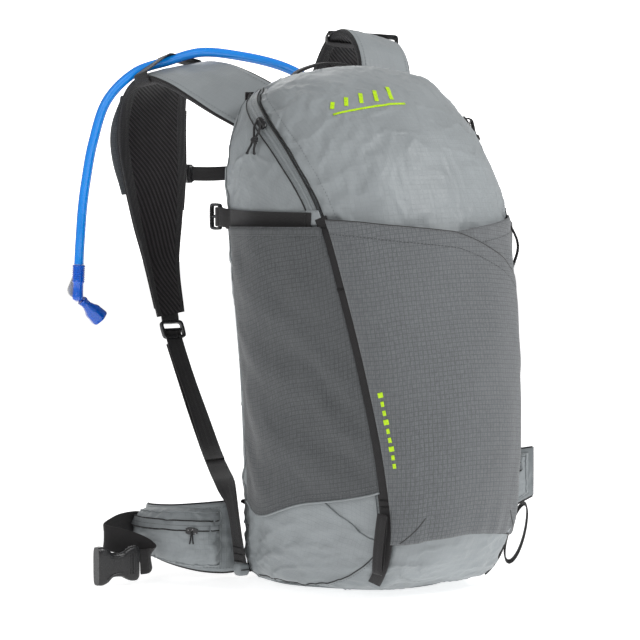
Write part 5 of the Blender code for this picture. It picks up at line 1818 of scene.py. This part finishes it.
def make_lower_strap(name, flip):
    """Ladder lock at a strap's end and the webbing that runs down to the bag."""
    down = unit(np.array((-87.0, 150.0, 186.0)) * MM - LOCK)
    ladder_lock(
        f"strap_buckle_{name}", LOCK * flip, (1, 0, 0), down * flip, (28 * MM, 24 * MM),
        (20.5 * MM, 10 * MM), 4.5 * MM, f"strap_lock_{name}_body", f"strap_lock_{name}",
    )
    top = [LOCK / MM - down * k for k in (8.0, 10.5)]
    top += [(-89, 181.6, 256), (-90, 183.6, 262), (-91, 185.0, 272)]
    lug = ribbon(f"strap_lug_{name}", curve(top, 24) * flip, (1, 0, 0), 20 * MM, 4.0 * MM)
    finish_mesh(lug, f"strap_{name}", WEB, 50)
    tongue = np.array([LOCK + down * k * MM for k in (1.5, 5.0, 9.0, 13.0, 17.0)])
    tongue[:, 1] += np.array((0.0, 1.5, 1.8, 1.6, 1.2)) * MM
    tongue = ribbon(f"strap_lock_tongue_{name}", tongue * flip, (1, 0, 0), 19 * MM, WEBBING)
    finish_mesh(tongue, None, WEB, 50)
    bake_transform(tongue)
    count = 140
    web = curve(WEB_ROUTE, count) * flip
    across = curve(WEB_SIDES, count, 1.0) * flip
    strap = ribbon(f"lower_webbing_{name}", web, across, 20 * MM, WEBBING)
    finish_mesh(strap, f"strap_{name}", WEB, 50)
    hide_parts(f"strap_webbing_{name}")
    along = tangents(web)
    side = unit(across - along * np.sum(across * along, axis=1, keepdims=True))
    n = np.cross(along, side)
    lead = np.linspace(0, 1, 46)
    drift = (2.2 + 2.5 * np.sin(math.pi * lead) ** 2) * MM
    tail = web[:46] + n[:46] * drift[:, None] * (1 if flip[0] > 0 else -1)
    loose = ribbon(f"lower_webbing_tail_{name}", tail, across[:46], 19.5 * MM, WEBBING)
    finish_mesh(loose, f"strap_{name}", WEB, 50)
    for k in (2, 7, 12):
        tack(f"lower_tack_{name}_{k}", web[-k], n[-k], side[-k], 16 * MM, f"strap_{name}")


def make_sternum():
    """Chest strap: clips on the rails, two webbings and a small side-release buckle."""
    y, z = 186 * MM, 404 * MM
    for name, sign in HANDS:
        near, far = 12, (58 if sign < 0 else 55.5)
        xs = np.linspace(near, far, 40) * sign * MM
        sag = 0.6 * MM * np.sin(np.linspace(0, math.pi, 40))
        path = np.stack((xs, y + sag * 0.5, z - sag), axis=1)
        web = ribbon(f"chest_webbing_{name}", path, UP, 15 * MM, WEBBING)
        finish_mesh(web, "sternum_strap", WEB, 50)
        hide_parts(f"sternum_webbing_{name}")
        centre = np.array((sign * 61.7, 186.0, 404.0)) * MM
        clip = rounded_block(f"chest_clip_{name}", centre, (6.4, 10, 20), 0.45)
        bar = [centre + np.array((-sign * 2.0, -5.1, k)) * MM for k in (-8, -4, 0, 4, 8)]
        slot = cordlet("clip_bar", bar, 0.9 * MM, sides=8)
        whole = merge(f"chest_clip_{name}", [clip, slot])
        finish_mesh(whole, f"sternum_clip_{name}_body", PLASTIC, 50)
        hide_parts(f"sternum_clip_{name}")
    body = rounded_block("chest_buckle", np.array((0.0, y, z)), (23, 9.6, 21), 0.5, waist=0.2)
    ribs = []
    for k in range(5):
        x = (k - 2) * 2.6 * MM
        line = [np.array((x, y + 4.9 * MM, z + h * MM)) for h in (-6, 0, 6)]
        ribs.append(cordlet("rib", line, 0.6 * MM, sides=8))
    whole = merge("chest_buckle", [body] + ribs)
    finish_mesh(whole, "sternum_strap", PLASTIC, 50)
    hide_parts("sternum_buckle")


def rounded_block(name, centre, size, power=0.4, waist=0.0):
    """Softly squared moulding, long in X, with an optional narrow waist."""
    rows, centres = [], []
    for f in np.linspace(-1, 1, 25):
        grow = (1 - abs(f) ** 8) ** 0.5 * (1 - waist * bump_at(f, 0.0, 0.6)) if abs(f) < 1 else 0.55
        grow = max(grow, 0.55)
        rows.append([
            (0.0, c * size[1] / 2 * MM * (0.5 + 0.5 * grow), d * size[2] / 2 * MM * grow)
            for c, d in squared_round(28, power)
        ])
        centres.append(centre + np.array((f * size[0] / 2 * MM, 0, 0)))
    return sweep(name, centres, np.array(rows))


# --- hip belt --------------------------------------------------------------------------------------

WING_LEFT = (
    (-106, 18, 41), (-124, 19.5, 41), (-146, 26, 42), (-165, 43, 44), (-172, 70, 46), (-162, 100, 47),
)
WING_RIGHT = ((106, 18, 41), (150, 22, 46), (198, 13, 62), (226, 3, 76), (246, -14, 86))
BELT_LEFT = (
    (-172, 93, 49), (-186, 86, 52), (-210, 72, 53), (-228, 62, 50), (-238, 55, 47), (-236, 49, 45),
    (-222, 44, 41), (-206, 39, 34), (-199, 33, 27), (-204, 28, 22.5), (-213, 27, 22),
)
BELT_RIGHT = ((240, 14, 82), (236, 22, 78), (229, 29, 68), (223, 33, 56), (220, 34, 43))
MALE_WAY = unit(np.array((0.76, -0.65, 0.0)))
BUCKLE = np.array((-215.5, 27.0, 22.0)) * MM
WING_COUNT = 90
WING_THICK = (5, 12, 12, 11, 9, 6)


def wing_frames(points, side):
    """Places along a hip wing and its outward normals."""
    places = curve(points, WING_COUNT)
    return places, unit(np.cross(tangents(places), UP * side))


def wing_folds(seed, near):
    """Pleats where the wing leaves the pack, and soft dents over the foam."""
    def folds(rings, shape):
        share = np.linspace(0, 1, len(rings))[:, None]
        outer = (shape[None, :, 1] > 0.5) * bump_at(shape[None, :, 0], 0.0, 1.1)
        soft = wave_noise(rings, 0.05, seed) * 1.3 + crease(wave_noise(rings, 0.035, seed + 1), 2.0) * 1.2
        pleat = np.sin(shape[None, :, 0] * 15 + share * 9) * bump_at(share, near, 0.16) * 1.1
        inner = (shape[None, :, 1] < -0.5) * wave_noise(rings, 0.04, seed + 2) * 0.4
        return (outer * (soft + pleat) + inner) * MM

    return folds


def wing_panel(places, out, tall, lift, thick, run, seed):
    """Zipped pocket swelling from the outer face of a wing, closed to the wing all round."""
    rows, columns = 61, 41
    f = np.linspace(run[0], run[1], rows)
    stations = np.linspace(0, 1, WING_COUNT)
    at = np.stack([np.interp(f, stations, places[:, k]) for k in range(3)], axis=1)
    normal = unit(np.stack([np.interp(f, stations, out[:, k]) for k in range(3)], axis=1))
    high = spread(tall, rows)
    g = np.linspace(-1, 1, columns)
    share = np.linspace(-1, 1, rows)
    dome = ((1 - np.abs(share) ** 5)[:, None] * (1 - np.abs(g) ** 4)[None, :]) ** 0.7
    grid = at[:, None] + UP * (high[:, None] / 2 * g[None, :])[..., None]
    waves = wave_noise(grid, 0.04, seed) * 1.2 + crease(wave_noise(grid, 0.03, seed + 1), 2.2) * 1.4
    pleats = (np.sin(share * 44.0) * bump_at(share, 0.66, 0.34))[:, None] * bump_at(g, 0.78, 0.24)[None, :]
    roll = bump_at(share, -0.78, 0.13)[:, None] * bump_at(g, -0.45, 0.5)[None, :]
    rise = lift + thick * dome + (waves * (0.5 + 0.5 * dome) + 1.3 * pleats + 3.2 * roll) * dome * MM
    return grid + normal[:, None] * rise[..., None], normal


def make_wing(name, side, points, heights, pocket_run, tall):
    """Padded wing of the hip belt with bound edges, and the zipped pouch on it."""
    body = f"wing_{name}"
    places, out = wing_frames(points, side)
    width, thick = spread(heights, WING_COUNT), spread(WING_THICK, WING_COUNT)
    across = np.repeat(UP[None], WING_COUNT, 0)
    pad = padded_run(
        f"hip_pad_{name}", places, across, out, width, thick, (SHELL, BINDING, MESH),
        wing_folds(171 + side, 0.12), share=0.86,
    )
    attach(pad, body)
    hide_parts(f"hip_wing_{name}")
    for k, edge in enumerate((-1, 1)):
        line = places + UP * (edge * width / 2)[:, None] + out * (thick / 2 * 0.2)[:, None]
        finish_mesh(cordlet(f"wing_piping_{name}_{k}", line[2:-1], 1.2 * MM), body, BINDING)
        row = places + UP * (edge * (width / 2 - 5 * MM))[:, None] + out * (thick / 2 * 1.03)[:, None]
        line = stitches(f"wing_stitch_{name}_{k}", row[3:-2], out[3:-2])
        finish_mesh(line, body, THREAD_GREY)
    make_pouch(name, side, places, out, pocket_run, tall)


def make_pouch(name, side, places, out, run, tall):
    """Zipped pouch on a wing: blown cloth, a zip along it, hemmed edges and the frame's slider."""
    body = f"wing_{name}"
    lift = spread(WING_THICK, 61)[30] / 2 - 1.0 * MM
    grid, normal = wing_panel(places, out, tall, lift, 14 * MM, run, 181 + side)
    grid = settle(grid, 1, 4.0, 0.05, 5 * MM)
    pocket = cloth(f"hip_pouch_{name}", grid, -normal[:, None], 1.2 * MM)
    finish_mesh(pocket, body, SHELL, 60)
    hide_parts(f"hip_pocket_{name}")
    middle = int((0.45 + 1) / 2 * 40)  # the zip lies above the pouch's middle
    zip_line = grid[4:-4, middle] + normal[4:-4] * 0.9 * MM
    way = unit(grid[4:-4, middle + 1] - grid[4:-4, middle - 1])
    tape = ribbon(f"hip_zip_{name}", zip_line, way, 10 * MM, 1.6 * MM)
    finish_mesh(tape, body, ZIP_TAPE, 50)
    for k, shift in enumerate((-5.0, 5.0)):
        edge = zip_line + way * shift * MM + normal[4:-4] * 0.5 * MM
        finish_mesh(cordlet(f"hip_zip_edge_{name}_{k}", edge, 0.7 * MM), body, BINDING)
    coil = zip_line + normal[4:-4] * 0.75 * MM
    finish_mesh(cordlet(f"hip_zip_coil_{name}", coil, 0.35 * MM), body, THREAD_GREY)
    make_hip_slider(name, normal[16])
    for k, column in enumerate((2, 38)):
        hem = grid[2:-2, column] + normal[2:-2] * 0.4 * MM
        finish_mesh(cordlet(f"hip_pouch_hem_{name}_{k}", hem, 0.9 * MM), body, SHELL_SMOOTH)
    for k, row in enumerate((1, 59)):
        hem = grid[row, 2:-2] + normal[row] * 0.4 * MM
        finish_mesh(cordlet(f"hip_pouch_end_{name}_{k}", hem, 0.9 * MM), body, SHELL_SMOOTH)


def make_hip_slider(name, normal):
    """Frame's small slider in black, with a short doubled cord hanging from it."""
    finish_mesh(NODES[f"hip_slider_{name}"], None, SLIDER, 40)
    low, high = box_of(f"hip_slider_{name}")
    centre = (low + high) / 2 + normal * 1.4 * MM
    parts = []
    for sway in (-1.0, 1.4):
        drop = [(0, 0.0), (0.6 * sway, -4.0), (sway, -9.0), (1.6 * sway, -13.0)]
        across = unit(np.cross(normal, UP))
        path = [centre / MM + across * a + UP * b + normal * (0.4 - b * 0.03) for a, b in drop]
        parts.append(cordlet("hip_pull_cord", curve(path, 20), 0.8 * MM, sides=8))
    pull = merge(f"hip_pull_{name}", parts)
    finish_mesh(pull, f"hip_slider_{name}_body", CORD)


def make_belt_web(name, side):
    """Hip belt webbing, tacked to its wing."""
    if side < 0:
        points, across = BELT_LEFT, UP
    else:
        points, across = BELT_RIGHT, MALE_WAY
    path = curve(points, 160)
    web = ribbon(f"belt_web_{name}", path, across, 25 * MM, WEBBING)
    finish_mesh(web, f"wing_{name}", WEB, 50)
    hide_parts(f"belt_webbing_{name}")
    along = tangents(path)
    width = unit(np.repeat(np.asarray(across, float)[None], 160, 0) - along * (along @ across)[:, None])
    n = np.cross(along, width)
    for k in (4, 10):
        tack(f"belt_tack_{name}_{k}", path[k], n[k], width[k], 20 * MM, f"wing_{name}")


def make_female_buckle():
    """Curved shell of the side-release buckle with three bars at the webbing end."""
    stations = (
        (0, 30, 6), (3, 35, 9), (10, 34.5, 11), (16, 29, 12), (20, 25, 12.3),
        (30, 24.5, 12.3), (36, 34, 13), (42, 38.6, 13), (47.5, 38, 12),
    )
    x, tall, thick = (spread(column, 60) for column in zip(*stations))
    shape = squared_round(44, 0.45, 0.5)
    centres = BUCKLE + np.stack((-x, 0 * x, 0 * x), axis=1)
    sections = np.zeros((60, 44, 3))
    sections[:, :, 1] = shape[None, :, 1] * thick[:, None] / 2
    sections[:, :, 2] = shape[None, :, 0] * tall[:, None] / 2
    shell = sweep("buckle_shell", centres, sections)
    parts = [shell]
    for k in range(4):
        at = 5.0 + 3.2 * k
        line = [BUCKLE + np.array((-at, -5.6 if at > 8 else -4.7, z)) * MM for z in (-10, -5, 0, 5, 10)]
        parts.append(cordlet("rib", line, 0.55 * MM, sides=8))
    for sign in (-1, 1):
        points = ((20, 8.6), (26, 8.0), (32, 8.8), (38, 13))
        line = [BUCKLE + np.array((-a, -6.1, sign * b)) * MM for a, b in points]
        parts.append(cordlet("edge", line, 0.6 * MM, sides=8))
    whole = merge("buckle_shell", parts)
    finish_mesh(whole, "buckle_female_body", PLASTIC, 45)
    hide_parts("buckle_female")


def make_male_buckle():
    """Webbing bar and three sprung prongs, hanging from the right belt webbing."""
    end = np.array(BELT_RIGHT[-1]) * MM

    def spot(x, z):
        return end + MALE_WAY * x * MM + UP * z * MM

    parts = []
    for z in (-5.6, -9.6):
        bar = np.array([spot(x, z) for x in np.linspace(-15.6, 15.6, 9)])
        parts.append(ribbon("bar", bar, UP, 3.0 * MM, 5.6 * MM))
    for x in (-14.4, 14.4):
        side = np.array([spot(x, z) for z in (-4.2, -7, -11)])
        parts.append(ribbon("side", side, MALE_WAY, 3.0 * MM, 5.8 * MM))
    for sign in (-1, 1):
        line = [spot(sign * x, z) for x, z in ((12.5, -10), (11, -14), (9.5, -20), (9.6, -26), (9.0, -31))]
        prong_width = spread((3.4, 3.2, 3.0, 3.6, 4.4), 24)
        parts.append(ribbon("prong", curve(np.array(line) / MM, 24), MALE_WAY, prong_width, 5.4 * MM))
    middle = np.array([spot(0, z) for z in (-10, -18, -29.6)])
    parts.append(ribbon("tongue", middle, MALE_WAY, 3.6 * MM, 4.6 * MM))
    whole = merge("buckle_prongs", parts)
    finish_mesh(whole, "buckle_male_body", PLASTIC, 50)
    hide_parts("buckle_male")


def make_hip_belt():
    """Both wings, their webbing and the two halves of the buckle."""
    make_wing("left", -1, WING_LEFT, (72, 72, 68, 60, 52, 44), (0.22, 0.95), (60, 60, 52, 38))
    make_wing("right", 1, WING_RIGHT, (72, 72, 70, 66, 60, 52), (0.22, 0.95), (60, 60, 54, 44))
    make_belt_web("left", -1)
    make_belt_web("right", 1)
    make_female_buckle()
    make_male_buckle()


# --- the whole pack --------------------------------------------------------------------------------

make_stage()
make_camera()
make_hose()
make_body()
lid_panel = make_flap()
make_zip_bands()
make_sliders()
make_front_pocket()
make_side_pockets()
make_seams()
make_mark(lid_panel)
make_side_straps()
make_front_straps()
make_haul_loop()
make_back()
make_inside()
make_harness()
make_hip_belt()
